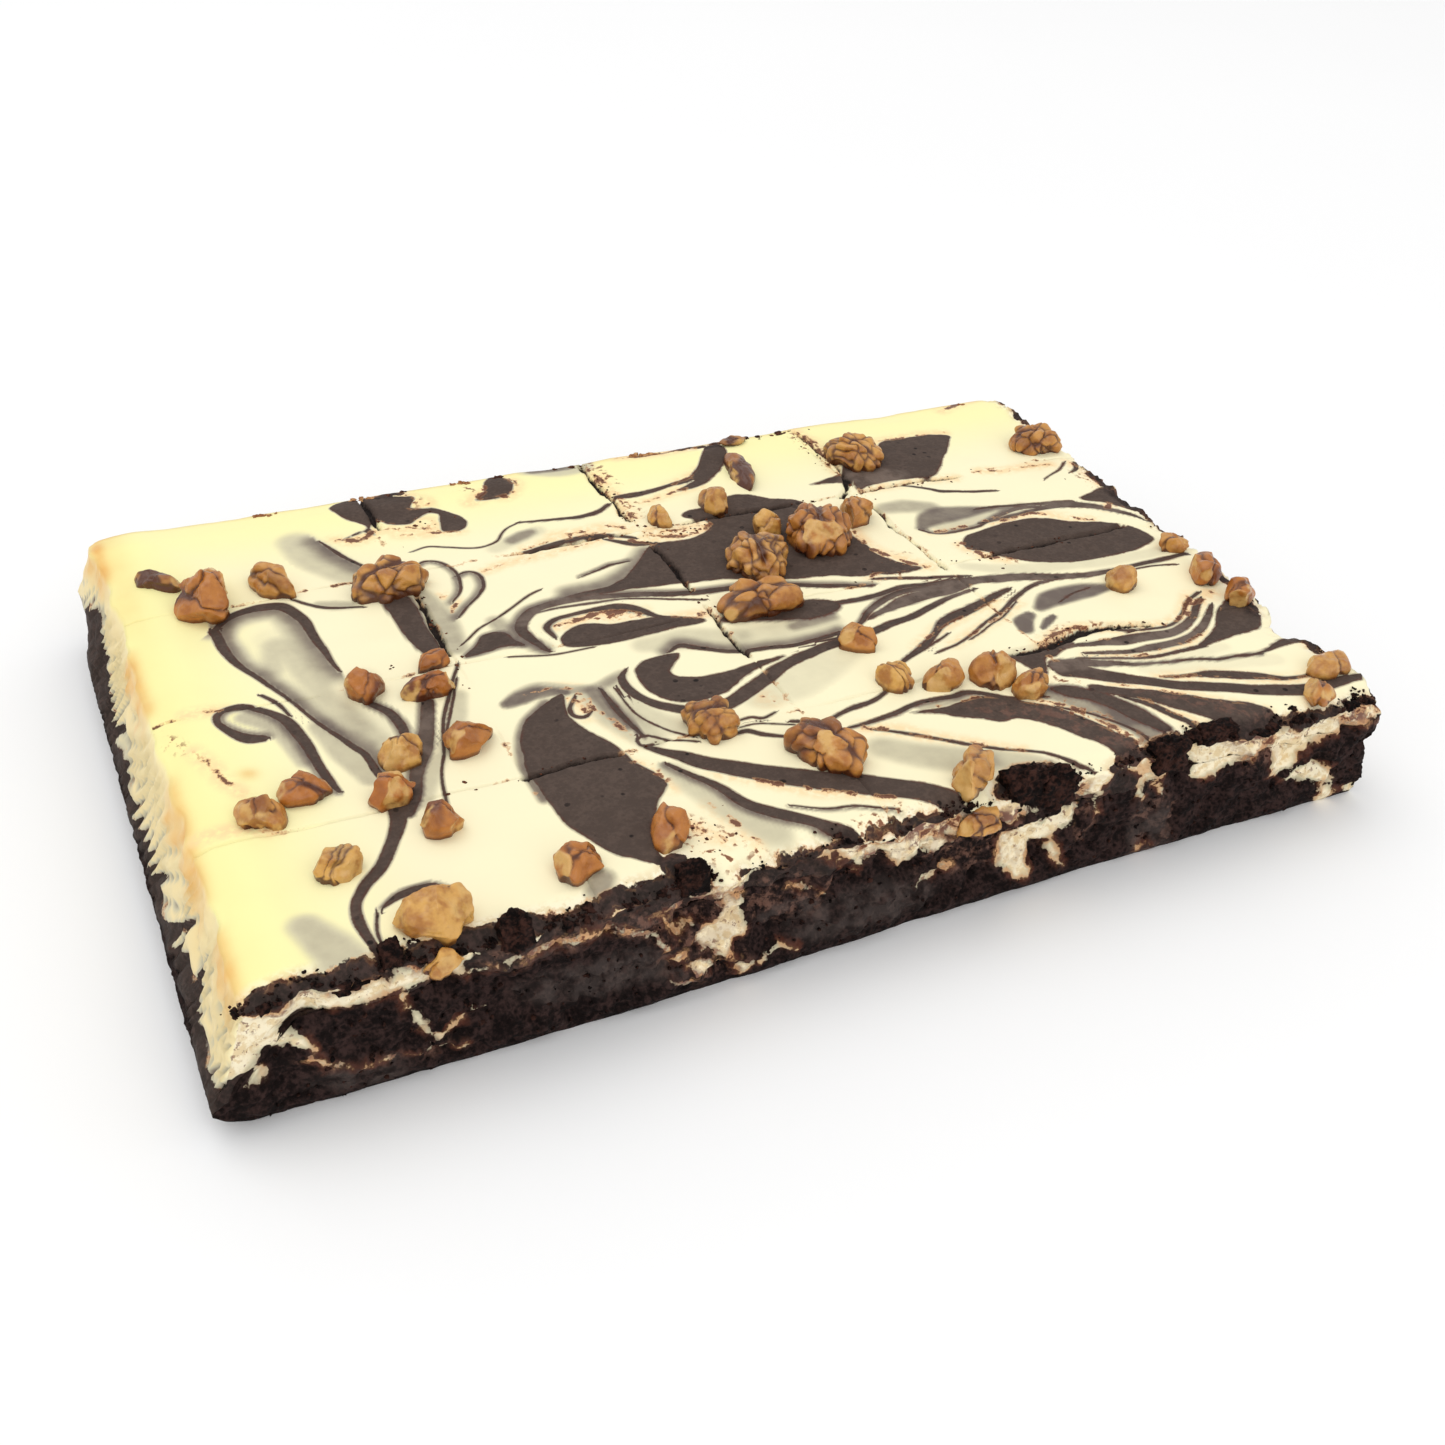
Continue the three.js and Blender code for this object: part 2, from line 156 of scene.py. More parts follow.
def back_side(x, z):
    set_in = np.interp(z, *PAN_SIDE) * BACK_BULGE / TOP_SET_IN
    return BACK + BACK_BULGE - set_in + 0.6 * noise(x / 11, z / 9, 3)


def right_side(y, z):
    slant = 4.5 + 0.045 * y + 3 * (1 - z / HEIGHT)
    chip = 9 * hill((y + 64) / 6) * smooth(z / 20)
    return RIGHT + slant - chip + crag(y, z, 11)


def front_side(x, z):
    return FRONT + 0.7 * np.sin(x / 37) + crag(x, z, 23) + 1.5 * clamp(1 - z / 3)


def place(x, y, z):
    """Where a point of the plain rectangle goes once the sides are shaped."""
    def near(distance):
        return 1 - smooth(distance / EDGE_REACH)

    px = x + (left_side(y, z) - LEFT) * near(x - LEFT) + (right_side(y, z) - RIGHT) * near(RIGHT - x)
    py = y + (front_side(x, z) - FRONT) * near(y - FRONT) + (back_side(x, z) - BACK) * near(BACK - y)
    a, b = clamp((LEFT + PAN_CORNER - x) / PAN_CORNER), clamp((y - BACK + PAN_CORNER) / PAN_CORNER)
    px = px + PAN_CORNER * a * (1 - np.sqrt(1 - b * b / 2))
    py = py - PAN_CORNER * b * (1 - np.sqrt(1 - a * a / 2))
    return px, py


def top_height(x, y):
    """The top without its scores: gentle waves, a raised baked rim, and edges that fall away."""
    waves = 0.55 * noise(x / 26, y / 22, 1) + 0.35 * noise(x / 11, y / 9, 2)
    falls = (0.9 * (1 - smooth((x - LEFT) / 3.5)) + 0.4 * (1 - smooth((BACK - y) / 4))
             + 2.8 * (1 - smooth((y - FRONT) / 6)) + 1.2 * (1 - smooth((RIGHT - x) / 6)))
    rim = 0.9 * hill((x - LEFT - 12) / 7) + 0.7 * hill((BACK - 9 - y) / 5)
    return HEIGHT + waves + rim - falls


def cheese_floor(x, y):
    """Where the cheese layer ends and the dark base begins."""
    def skirt(distance):
        return 1 - smooth((distance + BULGE) / (SKIRT_WIDTH + BULGE))

    deep = np.maximum(skirt(x - LEFT), skirt(BACK - y))
    dips = 1.4 * noise(x / 19, y / 17, 7) + 1.2 * hill((y - FRONT) / 14)
    return HEIGHT - CHEESE - dips - (SKIRT_DEPTH - CHEESE) * deep


def rim_floor(x, y):
    """The same for a point of the plain rectangle's rim, once its side is shaped."""
    return cheese_floor(*place(x, y, 12.0))


# Fields. A mark is a line or a patch. Its depth is how many millimetres inside it a place lies, and
# its fade is 1 inside it and falls to 0 where its haze ends. A line has a haze on each side of its
# run, left and right, and a haze of less than HAZE_LEAST counts as none.

HAZE_LEAST = 0.6
NONE = 0.3


def curve(points, closed=False, spans=5):
    """A smooth line through a few points."""
    p = np.array(points, float)
    p = np.vstack([p[-1], p, p[0], p[1]]) if closed else np.vstack([2 * p[0] - p[1], p, 2 * p[-1] - p[-2]])
    t = np.linspace(0, 1, spans, endpoint=False)[:, None]
    parts = [
        0.5 * (2 * b + (c - a) * t + (2 * a - 5 * b + 4 * c - d) * t**2 + (3 * b - a - 3 * c + d) * t**3)
        for a, b, c, d in zip(p, p[1:], p[2:], p[3:])
    ]
    return np.vstack(parts if closed else [*parts, p[-2]])


def close_by(x, y, line):
    low, high = line.min(0) - FAR, line.max(0) + FAR
    return np.flatnonzero((x > low[0]) & (x < high[0]) & (y > low[1]) & (y < high[1]))


def to_segments(x, y, line):
    """For each segment: the distance, how far along it that is, and whether a place is left of it."""
    for (ax, ay), (bx, by) in zip(line, line[1:]):
        dx, dy = bx - ax, by - ay
        t = clamp(((x - ax) * dx + (y - ay) * dy) / max(dx * dx + dy * dy, 1e-9))
        yield np.hypot(x - ax - t * dx, y - ay - t * dy), t, dx * (y - ay) > dy * (x - ax)


def widths_along(line, widths):
    return np.interp(np.linspace(0, 1, len(line)), np.linspace(0, 1, len(widths)), widths)


def across_line(x, y, widths, points):
    """Which places lie near a line, how far left of it they are, how far off, and its half width there."""
    line = curve(points)
    halves = widths_along(line, widths)
    near = close_by(x, y, line)
    gap, half = np.full(near.shape, FAR), np.zeros(near.shape)
    left_of = np.zeros(near.shape, bool)
    for n, (distance, t, left) in enumerate(to_segments(x[near], y[near], line)):
        closer = distance < gap
        gap = np.where(closer, distance, gap)
        half = np.where(closer, mix(halves[n], halves[n + 1], t), half)
        left_of = np.where(closer, left, left_of)
    return near, np.where(left_of, gap, -gap), gap, half


def in_line(x, y, hazes, widths, points):
    """Which places lie near a line, and their depth and fade."""
    near, side, gap, half = across_line(x, y, widths, points)
    depth = half - gap
    fade = smooth(1 + depth / np.where(side > 0, *hazes))
    to_left = clamp(0.5 + 0.5 * side / np.maximum(half, 0.1))
    soft = [float(haze > HAZE_LEAST) for haze in hazes]
    return near, depth, fade * mix(soft[1], soft[0], to_left)


def strokes(x, y, lines):
    """For a layer of lines: how far left of the nearest each place is, how far off, and its half width."""
    side, gap, half = np.full(x.shape, FAR), np.full(x.shape, FAR), np.zeros(x.shape)
    for _, widths, points in lines:
        near, left, off, wide = across_line(x, y, widths, points)
        closer = off - wide < gap[near] - half[near]
        at = near[closer]
        side[at], gap[at], half[at] = left[closer], off[closer], wide[closer]
    return side, gap, half


def in_patch(x, y, haze, points):
    """Which places lie near a closed outline, and their depth and fade."""
    line = curve(points, closed=True)
    line = np.vstack([line, line[0]])
    near = close_by(x, y, line)
    px, py = x[near], y[near]
    edge = np.full(near.shape, FAR)
    inside = np.zeros(near.shape, bool)
    for distance, _, _ in to_segments(px, py, line):
        edge = np.minimum(edge, distance)
    for (ax, ay), (bx, by) in zip(line, line[1:]):
        crosses = (ay > py) != (by > py)
        inside ^= crosses & (px < ax + (py - ay) * (bx - ax) / (by - ay if by != ay else 1e-9))
    depth = np.where(inside, edge, -edge)
    return near, depth, smooth(1 + depth / haze) * float(haze > HAZE_LEAST)


def swayed(x, y):
    """Places moved a little, so that drawn lines waver."""
    return x + 0.4 * noise(x / 7, y / 7, 8), y + 0.4 * noise(x / 7, y / 7, 9)


def field(x, y, lines=(), patches=(), ragged=0.0):
    """The depth in the deepest of the marks, and how much their hazes cover. ragged wanders the edges."""
    sx, sy = swayed(x, y)
    depth = np.full(x.shape, -FAR)
    clear = np.ones(x.shape)
    for measure, marks in ((in_line, lines), (in_patch, patches)):
        for mark in marks:
            near, inside, fade = measure(sx, sy, *mark)
            depth[near] = np.maximum(depth[near], inside)
            clear[near] *= 1 - fade
    wander = ragged * rough(x / 2.6, y / 2.6, 4.0, 2)
    return np.where(depth > -FAR, depth + wander, depth), 1 - clear


# The marbling of the top. A line is: hazes left and right of its run, half widths, points. Lines that
# come close to each other are in different layers.

LINES_A = (
    # The tall loop at the left, its arc, and the hook beside it
    ((5.5, NONE), (1.4, 1.4, 1.1, 0.8, 0.6, 0.5, 0.5, 0.6, 0.8, 0.9, 1.2),
     ((-127, 39), (-126.5, 30), (-125, 22), (-122, 14), (-118.5, 6), (-116, 0), (-113.5, -8), (-110, -17),
      (-107, -24), (-104.5, -32), (-103.5, -42))),
    ((NONE, 7.5), (0.8, 1.4, 1.8, 1.8, 1.6, 1.3, 0.9, 0.4),
     ((-126.5, 40), (-121.5, 44.5), (-114.5, 46), (-108, 44), (-105, 38), (-103.5, 29), (-102.5, 19),
      (-101.5, 9))),
    ((NONE, 2.5), (1.2, 1.7, 1.3, 0.9, 0.8, 0.9, 1.0, 1.3, 1.6, 1.4, 1.3, 1.0, 0.6),
     ((-126, -14), (-129, -13), (-132, -10), (-134.5, -5), (-133.5, -1), (-130, 1), (-126, 0), (-121, -6),
      (-118, -12), (-116.5, -20), (-116, -28), (-115, -36), (-114, -40))),
    # Stems and the trunk
    ((1.5, 1.5), (1.0, 1.3, 1.2, 0.8), ((-98, -8), (-95, -14), (-94, -22), (-95, -28))),
    ((NONE, NONE), (0.35, 0.5, 0.4, 0.35, 0.4),
     ((-73, 0), (-78, -10), (-83, -20), (-87, -32), (-91, -44), (-93, -54))),
    ((NONE, NONE), (2.4, 1.8, 1.6, 1.4, 1.2, 1.1, 1.1, 1.0),
     ((-102.5, -47), (-105, -55), (-108, -62), (-113, -69), (-118, -75), (-121, -80), (-121.5, -87),
      (-120.5, -95))),
    # Loops and lines of the back
    ((NONE, 3.0), (0.3, 0.4, 0.45, 0.5, 0.45, 0.3),
     ((-67, 54), (-65, 55.3), (-62, 54), (-59.5, 50), (-58.5, 45), (-60, 38), (-62, 34), (-64.5, 30.5))),
    ((NONE, NONE), (0.25, 0.3, 0.3, 0.3, 0.25),
     ((-67, 62), (-62, 63), (-57, 60.5), (-51, 58), (-46, 57.5), (-42, 59), (-39, 63), (-36, 66),
      (-32, 68))),
    ((NONE, NONE), (0.5, 1.1, 1.2, 0.6), ((-12, 48.5), (-7, 44.5), (-3, 42.5), (1, 41.5))),
    ((2.0, NONE), (0.2, 0.4, 0.5, 0.3), ((-27, 32), (-20, 34), (-16, 35.5), (-11, 35.5))),
    # Round the eye and on below the dark middle
    ((2.8, 0.7), (0.8, 1.6, 1.8, 1.6, 1.3, 1.2, 1.2, 1.3, 1.3, 1.3, 1.2, 1.1, 0.9, 0.8, 0.6),
     ((-49, -1), (-51.5, 6), (-52, 11), (-49, 16), (-43, 20), (-35, 21.3), (-25, 20.5), (-15, 17.5),
      (-6, 14), (3, 11.5), (15, 9.5), (25, 7.3), (32, 5), (40, 2), (50, -1.3))),
    ((NONE, 1.0), (0.5, 0.8, 0.8, 0.7, 1.0, 1.8, 1.8, 1.2, 0.8, 0.5),
     ((-45, 4), (-45.5, 9), (-42, 12.5), (-36, 13.8), (-30, 14.5), (-24, 13.6), (-20, 11.5), (-17, 8),
      (-14.5, 4), (-11, 1.5))),
    ((NONE, NONE), (0.25, 0.3, 0.3), ((-60, -1), (-52, -3), (-44, -4.2), (-37, -3.6))),
    ((4.5, NONE), (0.5, 0.9, 0.9, 0.9, 0.8, 0.8, 0.8),
     ((-19, -12.5), (-15, -11), (-10, -14.5), (-5, -17.5), (2, -19.5), (10, -21.3), (20, -21.7),
      (28, -21))),
    # The long crescent that runs right under the comma
    ((NONE, NONE),
     (0.3, 1.1, 1.4, 1.4, 1.6, 1.8, 2.2, 2.4, 2.2, 2.0, 1.9, 1.8, 1.6, 1.4, 1.3, 1.2, 0.8, 0.5),
     ((-33, -16.5), (-35.5, -20), (-36, -26), (-34.5, -31), (-31, -36), (-25, -40.5), (-16, -41), (-8, -37),
      (0, -33.3), (8, -29), (18, -26.5), (26, -25), (36, -24), (44, -21.5), (52, -20), (60, -17.5),
      (68, -15.5), (76, -15))),
    ((NONE, NONE), (0.4, 0.6, 0.6, 0.5), ((52, 1.5), (60, -1.5), (68, -4.5), (78, -8))),
    ((1.5, NONE), (0.6, 0.9, 1.1, 1.2, 1.3),
     ((34, -20), (38, -17), (42, -13.5), (47, -10.3), (53, -8.3), (60, -8), (76, -10))),
    ((0.8, NONE), (0.6, 1.0, 1.4, 0.9, 1.0, 1.6, 1.8, 1.8, 1.2, 0.7),
     ((36, -40.5), (41, -38.5), (46, -36), (50, -33), (54, -29.5), (58, -26.5), (63, -24.5), (70, -23),
      (78, -20.3), (86, -17.5))),
    ((NONE, NONE), (0.3, 0.4, 0.4, 0.5, 0.6, 0.7, 0.7, 0.5, 0.3),
     ((47, -40.5), (54, -38.5), (60, -36), (66, -33), (72, -30), (78, -27), (86, -21.8), (94, -18.2),
      (102, -17.5), (110, -19.5))),
    ((NONE, NONE), (0.3, 0.35, 0.3), ((128, -22), (134, -22.5), (141, -24.2))),
    ((NONE, NONE), (0.3, 0.4, 0.3), ((96, -29), (102, -26.3), (109, -25))),
    # Fans of the right
    ((NONE, NONE), (0.4, 0.5, 1.2, 2.0, 2.0, 1.6, 1.3, 1.2, 1.0, 0.8),
     ((76, -52), (84, -51), (92, -51.8), (100, -53), (108, -54.3), (115, -54.6), (121, -53), (127, -49.7),
      (131, -46), (136, -42))),
    ((NONE, NONE), (0.4, 0.5, 0.5, 0.6, 0.8), ((82, -56.5), (92, -60), (100, -62), (110, -63), (120, -63))),
    ((0.8, NONE), (0.3, 0.5, 1.2, 1.8, 0.8),
     ((126, -72), (134, -71.5), (140, -70.7), (146, -70.3), (152, -70.8))),
    ((NONE, NONE), (3.5, 3.0, 2.6, 2.0, 2.0, 2.0, 2.0, 2.2, 2.4, 2.4, 2.0, 1.5),
     ((76, -60), (80, -63), (84, -66), (90, -70), (96, -74), (102, -77.5), (110, -81.5), (118, -85.5),
      (126, -88.5), (134, -90.5), (142, -91), (150, -90))),
    # Lines of the front
    ((NONE, NONE), (0.8, 1.4, 2.2, 2.8, 3.2, 3.4, 3.6, 3.6, 3.4, 2.4),
     ((-42, -50), (-38, -55), (-33, -60), (-26, -66), (-18, -72), (-10, -77), (-2, -82), (6, -86.5),
      (13, -91), (18, -95))),
    ((NONE, 1.8), (0.25, 0.35, 0.3), ((-20, -84), (-12, -88), (-5, -90), (3, -94))),
    ((NONE, NONE), (0.3, 0.3, 0.3), ((-39, -24), (-39, -36), (-36, -44), (-30, -51))),
    ((NONE, NONE), (0.3, 0.4, 0.3), ((-17, -48.5), (-13, -48), (-10, -49.5), (-6, -48.5))),
    ((NONE, NONE), (0.2, 0.25, 0.2), ((-17, -51.5), (-13, -51), (-9, -52.5), (-4, -55))),
    ((NONE, 1.2), (0.4, 0.6, 0.9, 0.9, 0.8, 0.8, 0.8, 0.8, 0.7, 0.5),
     ((9, -61), (15, -60.8), (22, -60.5), (28, -58.7), (33, -58.5), (40, -59.2), (45, -58.8), (50, -61),
      (56, -65), (64, -67.5))),
    ((NONE, NONE), (0.4, 0.5, 0.5), ((64, -73), (70, -80), (74, -87), (76, -94))),
    # Thin lines of the back right
    ((NONE, NONE), (0.4, 0.5, 0.6, 0.8, 0.6, 0.7, 0.4),
     ((90, 50), (94, 47.5), (98, 44.3), (101, 41.8), (106, 40.5), (111, 38.6), (118, 36.3))),
    ((NONE, NONE), (0.4, 0.8, 0.9), ((149, 39), (153, 41.5), (156, 46))),
    ((2.0, NONE), (0.4, 0.5, 0.5, 0.5, 0.7, 1.0, 0.8),
     ((81, 22.5), (84, 19), (90, 17.3), (97, 17), (101, 18), (107, 20.3), (113, 22.5), (119, 23.8),
      (126, 22))),
)

LINES_B = (
    ((NONE, NONE), (0.4, 0.7, 0.6, 0.4), ((-104.5, 46.5), (-99, 41), (-95, 38.5), (-88, 36.5))),
    ((NONE, NONE), (0.5, 0.6, 0.4), ((-122, 4), (-119, -1), (-118, -7))),
    ((1.0, 2.0), (1.6, 1.8, 2.0, 1.6, 1.4, 1.4),
     ((-85, -13), (-88, -22), (-91, -30), (-95, -38), (-98, -46), (-102, -53))),
    ((NONE, 0.8), (0.3, 0.35, 0.3), ((-75, -6), (-81, -19), (-86, -30))),
    ((1.2, NONE), (0.3, 1.2, 1.2, 0.3), ((-116, -82), (-111, -79.3), (-105, -79.3), (-101.5, -81))),
    ((NONE, NONE), (0.3, 0.35, 0.3), ((-117.5, -83), (-119, -89), (-119, -96))),
    ((NONE, 7.5), (0.3, 0.7, 0.6), ((-90, 76), (-87, 68), (-82, 59))),
    ((NONE, 3.2), (0.3, 0.4, 0.5, 0.5, 0.4, 0.3),
     ((-59, 44), (-56, 45.5), (-53.5, 44), (-53, 40), (-54, 35), (-57, 31), (-61, 27), (-65.5, 22.5))),
    ((NONE, 0.8), (0.4, 0.5, 0.7, 0.9, 0.7, 0.6),
     ((-32, 68), (-26, 66.5), (-20, 65), (-14, 64.5), (-8, 66), (-3, 69))),
    ((NONE, NONE), (0.5, 0.9, 1.0, 1.2, 1.0, 0.6),
     ((-37, 50.5), (-31, 51.5), (-25, 52.7), (-19, 53), (-13, 51.8), (-8, 49.5), (-4, 46.5))),
    ((NONE, NONE), (0.3, 0.3, 0.35, 0.3),
     ((-69, 9), (-62, 15), (-56, 18.5), (-50, 22), (-45, 26), (-40, 28.5))),
    ((NONE, NONE), (0.3, 0.45, 0.4, 0.4, 0.3),
     ((-46, 17.3), (-38, 18.5), (-28, 18), (-20, 17), (-12, 13.5), (-5, 10), (1, 7.5))),
    # Small hooks and stripes left of the middle
    ((NONE, NONE), (0.4, 0.6, 0.6, 0.4),
     ((-50, -24), (-53, -28), (-53.5, -31.5), (-51, -33), (-48.5, -31))),
    ((0.8, 0.8), (0.5, 0.9, 0.7, 0.4), ((-42.5, -23), (-42.5, -32), (-42, -40), (-41, -46))),
    ((NONE, NONE), (0.35, 0.45, 0.4, 0.3),
     ((-40, -49.5), (-43, -49), (-43, -46), (-40, -46), (-36, -49.5), (-30, -53))),
    ((0.6, 2.8), (0.6, 0.9, 1.1, 1.4, 1.8, 1.9, 1.7, 1.5),
     ((-40, -59), (-36, -65), (-33, -70), (-31, -75), (-28, -81), (-23, -87), (-17, -92), (-10, -98))),
    ((NONE, NONE), (0.5, 0.9, 0.8, 0.5), ((-19, -54), (-16, -53.5), (-13, -56), (-8.5, -58.7))),
    ((NONE, NONE), (0.5, 0.7, 0.9, 0.7, 0.6, 0.8, 0.7, 0.5),
     ((-4, -53.5), (1, -55.7), (4, -57), (8, -55.2), (13, -54), (20, -53), (27, -50))),
    ((NONE, NONE), (0.3, 0.5, 0.6, 0.6, 0.5, 0.5, 0.4),
     ((14, -64), (18, -67), (24, -71), (30, -76), (36, -81), (42, -85), (48, -89), (53, -94), (57, -97))),
    # The bundle that runs right from the middle
    ((NONE, 0.8), (0.8, 1.0, 0.9, 0.8, 0.9),
     ((34, -6.5), (42, -6.7), (50, -6.3), (58, -5.6), (66, -7), (76, -9.3))),
    ((0.7, 0.7), (0.5, 1.0, 2.0, 2.2, 2.0, 1.8, 1.9, 1.7, 1.4, 1.0, 0.9, 0.9, 0.9),
     ((40, -17), (46, -14.5), (53, -12.3), (62, -11.5), (70, -12), (80, -11), (90, -12.5), (98, -14.5),
      (106, -17.5), (114, -19.5), (128, -20), (138, -20), (149, -19.5))),
    ((NONE, NONE), (0.3, 0.35, 0.3), ((43, -38.5), (49, -35.7), (56, -32))),
    ((NONE, NONE), (0.2, 0.3, 0.3), ((60, -37.3), (68, -34), (76, -30), (84, -24.5))),
    # Fans of the right
    ((NONE, NONE), (0.8, 1.0, 1.2, 1.5, 1.5, 1.0, 0.6, 0.5, 0.5, 0.5, 0.5, 0.6, 0.5),
     ((74, -49), (80, -49.5), (85, -48), (89, -46), (94, -45.5), (99, -45.7), (103, -48.8), (110, -51),
      (116, -51.4), (121, -50), (126, -46.3), (131, -42), (138, -39))),
    ((NONE, NONE), (0.4, 0.7, 0.9, 1.2, 1.3, 1.3, 1.2, 1.0, 0.6),
     ((86, -55.3), (92, -56.7), (98, -58), (106, -59), (114, -59), (121, -57.5), (127, -54.5), (132, -50.5),
      (137, -46))),
    ((1.0, 1.0), (2.4, 1.8, 1.2, 0.7, 0.4, 0.4, 0.5, 0.4, 0.3),
     ((75, -57), (82, -58.7), (88, -61.3), (94, -63.7), (102, -65.4), (110, -67.4), (118, -70.2),
      (125, -71.3), (132, -72.3))),
    ((NONE, NONE), (0.4, 0.7, 1.6, 1.8, 1.4, 0.8, 0.4, 0.3),
     ((99, -72), (106, -73.7), (112, -75.7), (118, -78.2), (124, -81.2), (130, -83.7), (138, -85.3),
      (144, -86))),
    ((NONE, NONE), (0.5, 1.2, 1.2, 0.6), ((82, -76), (87, -83), (90, -88), (93.5, -95))),
    # Lines of the back right
    ((NONE, NONE), (0.2, 0.3, 0.3), ((137, 37), (146, 42), (152, 46.5))),
    ((0.6, 2.8), (0.5, 0.6, 0.7, 0.8, 1.2), ((104, 27.2), (112, 26.2), (122, 25.5), (130, 24), (137, 22))),
    ((0.8, 0.8), (0.5, 0.7, 0.8, 1.0, 1.8, 2.0, 1.5, 1.0, 1.0, 1.0),
     ((100, 18.5), (108, 19), (116, 20), (124, 21.2), (131, 21.8), (137, 20), (142, 17), (146, 12),
      (150, 7), (154.5, 2.5))),
)

# Patches, as haze and outline
COCOA_PATCHES = (
    # Beside the first lengthwise score
    (1.0, ((-82, 38), (-75.5, 38), (-74.5, 30), (-75, 20), (-75, 8), (-79, 7), (-81, 15), (-82, 28))),
    # The torn patches of the back
    (NONE, ((-84, 75), (-78, 78), (-74, 75), (-76, 82), (-80, 86), (-82, 94), (-77, 98), (-68, 98),
            (-63, 95.5), (-57.5, 93), (-57.5, 90), (-60, 86.5), (-57, 84.5), (-53, 84), (-50, 81),
            (-48, 78), (-46.5, 74), (-48, 70.5), (-52, 69), (-55, 71), (-54.5, 74), (-54, 77), (-53, 80.5),
            (-56, 82), (-60, 80), (-63, 78), (-68, 79.5), (-72, 84), (-75, 79))),
    (NONE, ((-40, 85), (-36, 88), (-34, 95), (-31, 99), (-27, 97), (-26, 91), (-29, 86), (-34, 84))),
    (NONE, ((47, 97), (47.5, 91), (44, 84), (39, 78.5), (33, 73.5), (26, 70), (20, 69), (24, 71.5),
            (29, 75), (24, 73.5), (17, 72.5), (9, 71.5), (1, 71.5), (1, 73.5), (8, 74), (16, 74.3),
            (23, 75.5), (29, 78), (34, 83.5), (39, 91), (43, 97))),
    # The dark middle
    (NONE, ((-42, 22.6), (-30, 24), (-20, 25), (-13, 29.5), (-8, 34), (-1, 41), (8, 40.5), (16, 42),
            (21, 46), (20, 50), (15, 53.5), (18, 57), (24, 57.5), (30, 60), (36, 62), (41, 60.5), (46, 57),
            (53, 52), (57, 44), (60, 22), (60, 15), (62, 10), (65, 5), (68, 1), (60, 1.3), (53, 3.5),
            (45, 5.5), (38, 8), (30, 9.5), (18, 13), (10, 15.5), (0, 18), (-10, 19.7), (-20, 21.4),
            (-32, 22.2))),
    # The eye and the wedge left of it
    (NONE, ((-44, 0), (-43, 4), (-39, 7), (-33, 7.5), (-28, 5.8), (-20, 5), (-12, 3), (-6, 0), (-4, -3),
            (-20, -3.5), (-35, -3), (-42, -2))),
    (1.6, ((-70, 2), (-66, 7), (-62, 11.5), (-57, 10.5), (-55.5, 6), (-54, 2.5), (-60, 3.8))),
    (1.2, ((0, -4), (8, -7), (16, -9.5), (24, -11.5), (31, -11.2), (35, -9), (35, -6), (30, -3), (20, -2),
           (8, -1.5))),
    # The comma
    (NONE, ((-17, -14.5), (-20, -13.5), (-25, -13.5), (-29, -15.5), (-31.5, -20), (-31.5, -27), (-30, -32),
            (-26, -36.5), (-20, -37.5), (-13, -35), (-6, -31), (0, -28.6), (8, -26), (8, -25), (0, -26),
            (-6, -26.8), (-12, -27), (-18, -26), (-22, -24), (-23, -21), (-20, -18))),
    # The leaf of the back right, the spur beside it, and the lens under it
    (NONE, ((98, 77), (101, 79.5), (107, 80), (114, 80.2), (120, 80), (126, 77.5), (123, 73), (119, 67),
            (114, 62), (109, 57), (105, 53), (101, 52.2), (96, 53), (88, 54), (80, 53), (76, 52), (77, 57),
            (82, 64), (90, 66), (95, 70))),
    (NONE, ((62, 60.5), (70, 61.5), (76, 64), (80, 69), (80, 60), (75, 57.5), (70, 58.5))),
    (NONE, ((88, 9), (91, 13), (96, 14.5), (104, 15.3), (113, 16), (118, 15.5), (123, 14), (128, 11),
            (133, 9), (138, 6.5), (144, 1), (146, -7), (143, -10), (136, -12), (125, -12), (112, -11),
            (104, -8), (98, -4), (94, -1), (92, 3), (88, 6))),
    (NONE, ((141, 23), (147, 25), (152, 27), (156, 26), (156, 9), (151, 12), (147, 17))),
    (NONE, ((118, -62.5), (124, -60), (130, -56), (135, -50.5), (140, -47), (144, -45.5), (147, -51),
            (145, -57), (141, -61), (133, -63), (125, -63.5))),
    # The big patch left of the middle
    (NONE, ((-53, -22), (-58, -24), (-64, -28), (-68, -34), (-70.5, -42), (-71.5, -50), (-71.5, -60),
            (-70, -70), (-67.5, -78), (-64, -85), (-59, -90), (-56, -94), (-53.5, -101), (-52, -98),
            (-55, -90), (-54, -82), (-51, -76), (-47, -70), (-43.5, -66), (-44, -62), (-46.5, -56),
            (-48, -50), (-50, -44), (-53, -38), (-54.5, -32), (-53.5, -26))),
    # Dark wedges of the front right
    (NONE, ((26, -62), (33, -62.5), (38, -62.5), (44, -61), (50, -62), (55, -64.5), (58, -68), (61, -70.5),
            (64, -74), (67, -80), (70, -88), (73, -94), (73, -101), (67, -101), (65, -95), (63, -90),
            (60, -85), (57, -80), (54, -76), (50, -73), (46, -73), (42, -70), (36, -67), (31, -64))),
    (NONE, ((77, -68), (84, -72), (90, -75.5), (96, -79.5), (102, -83), (108, -87.5), (113, -91),
            (117, -96), (120, -101), (104, -101), (102, -97), (97, -91), (92, -85), (86, -79.5), (80, -74),
            (76, -71))),
    (1.5, ((67, -64.5), (71, -65.5), (75, -69), (79, -74), (82, -80), (84, -87), (85, -92), (81, -92),
           (78, -86), (75.5, -79), (72, -73), (68, -68))),
    # The knot where they meet, by the second crosswise score
    (NONE, ((62, -47), (70, -47.5), (80, -48.5), (86, -50), (80, -51.8), (77, -53.5), (74, -53),
            (71.5, -57), (68.5, -60), (67.5, -55), (65, -50.5))),
)

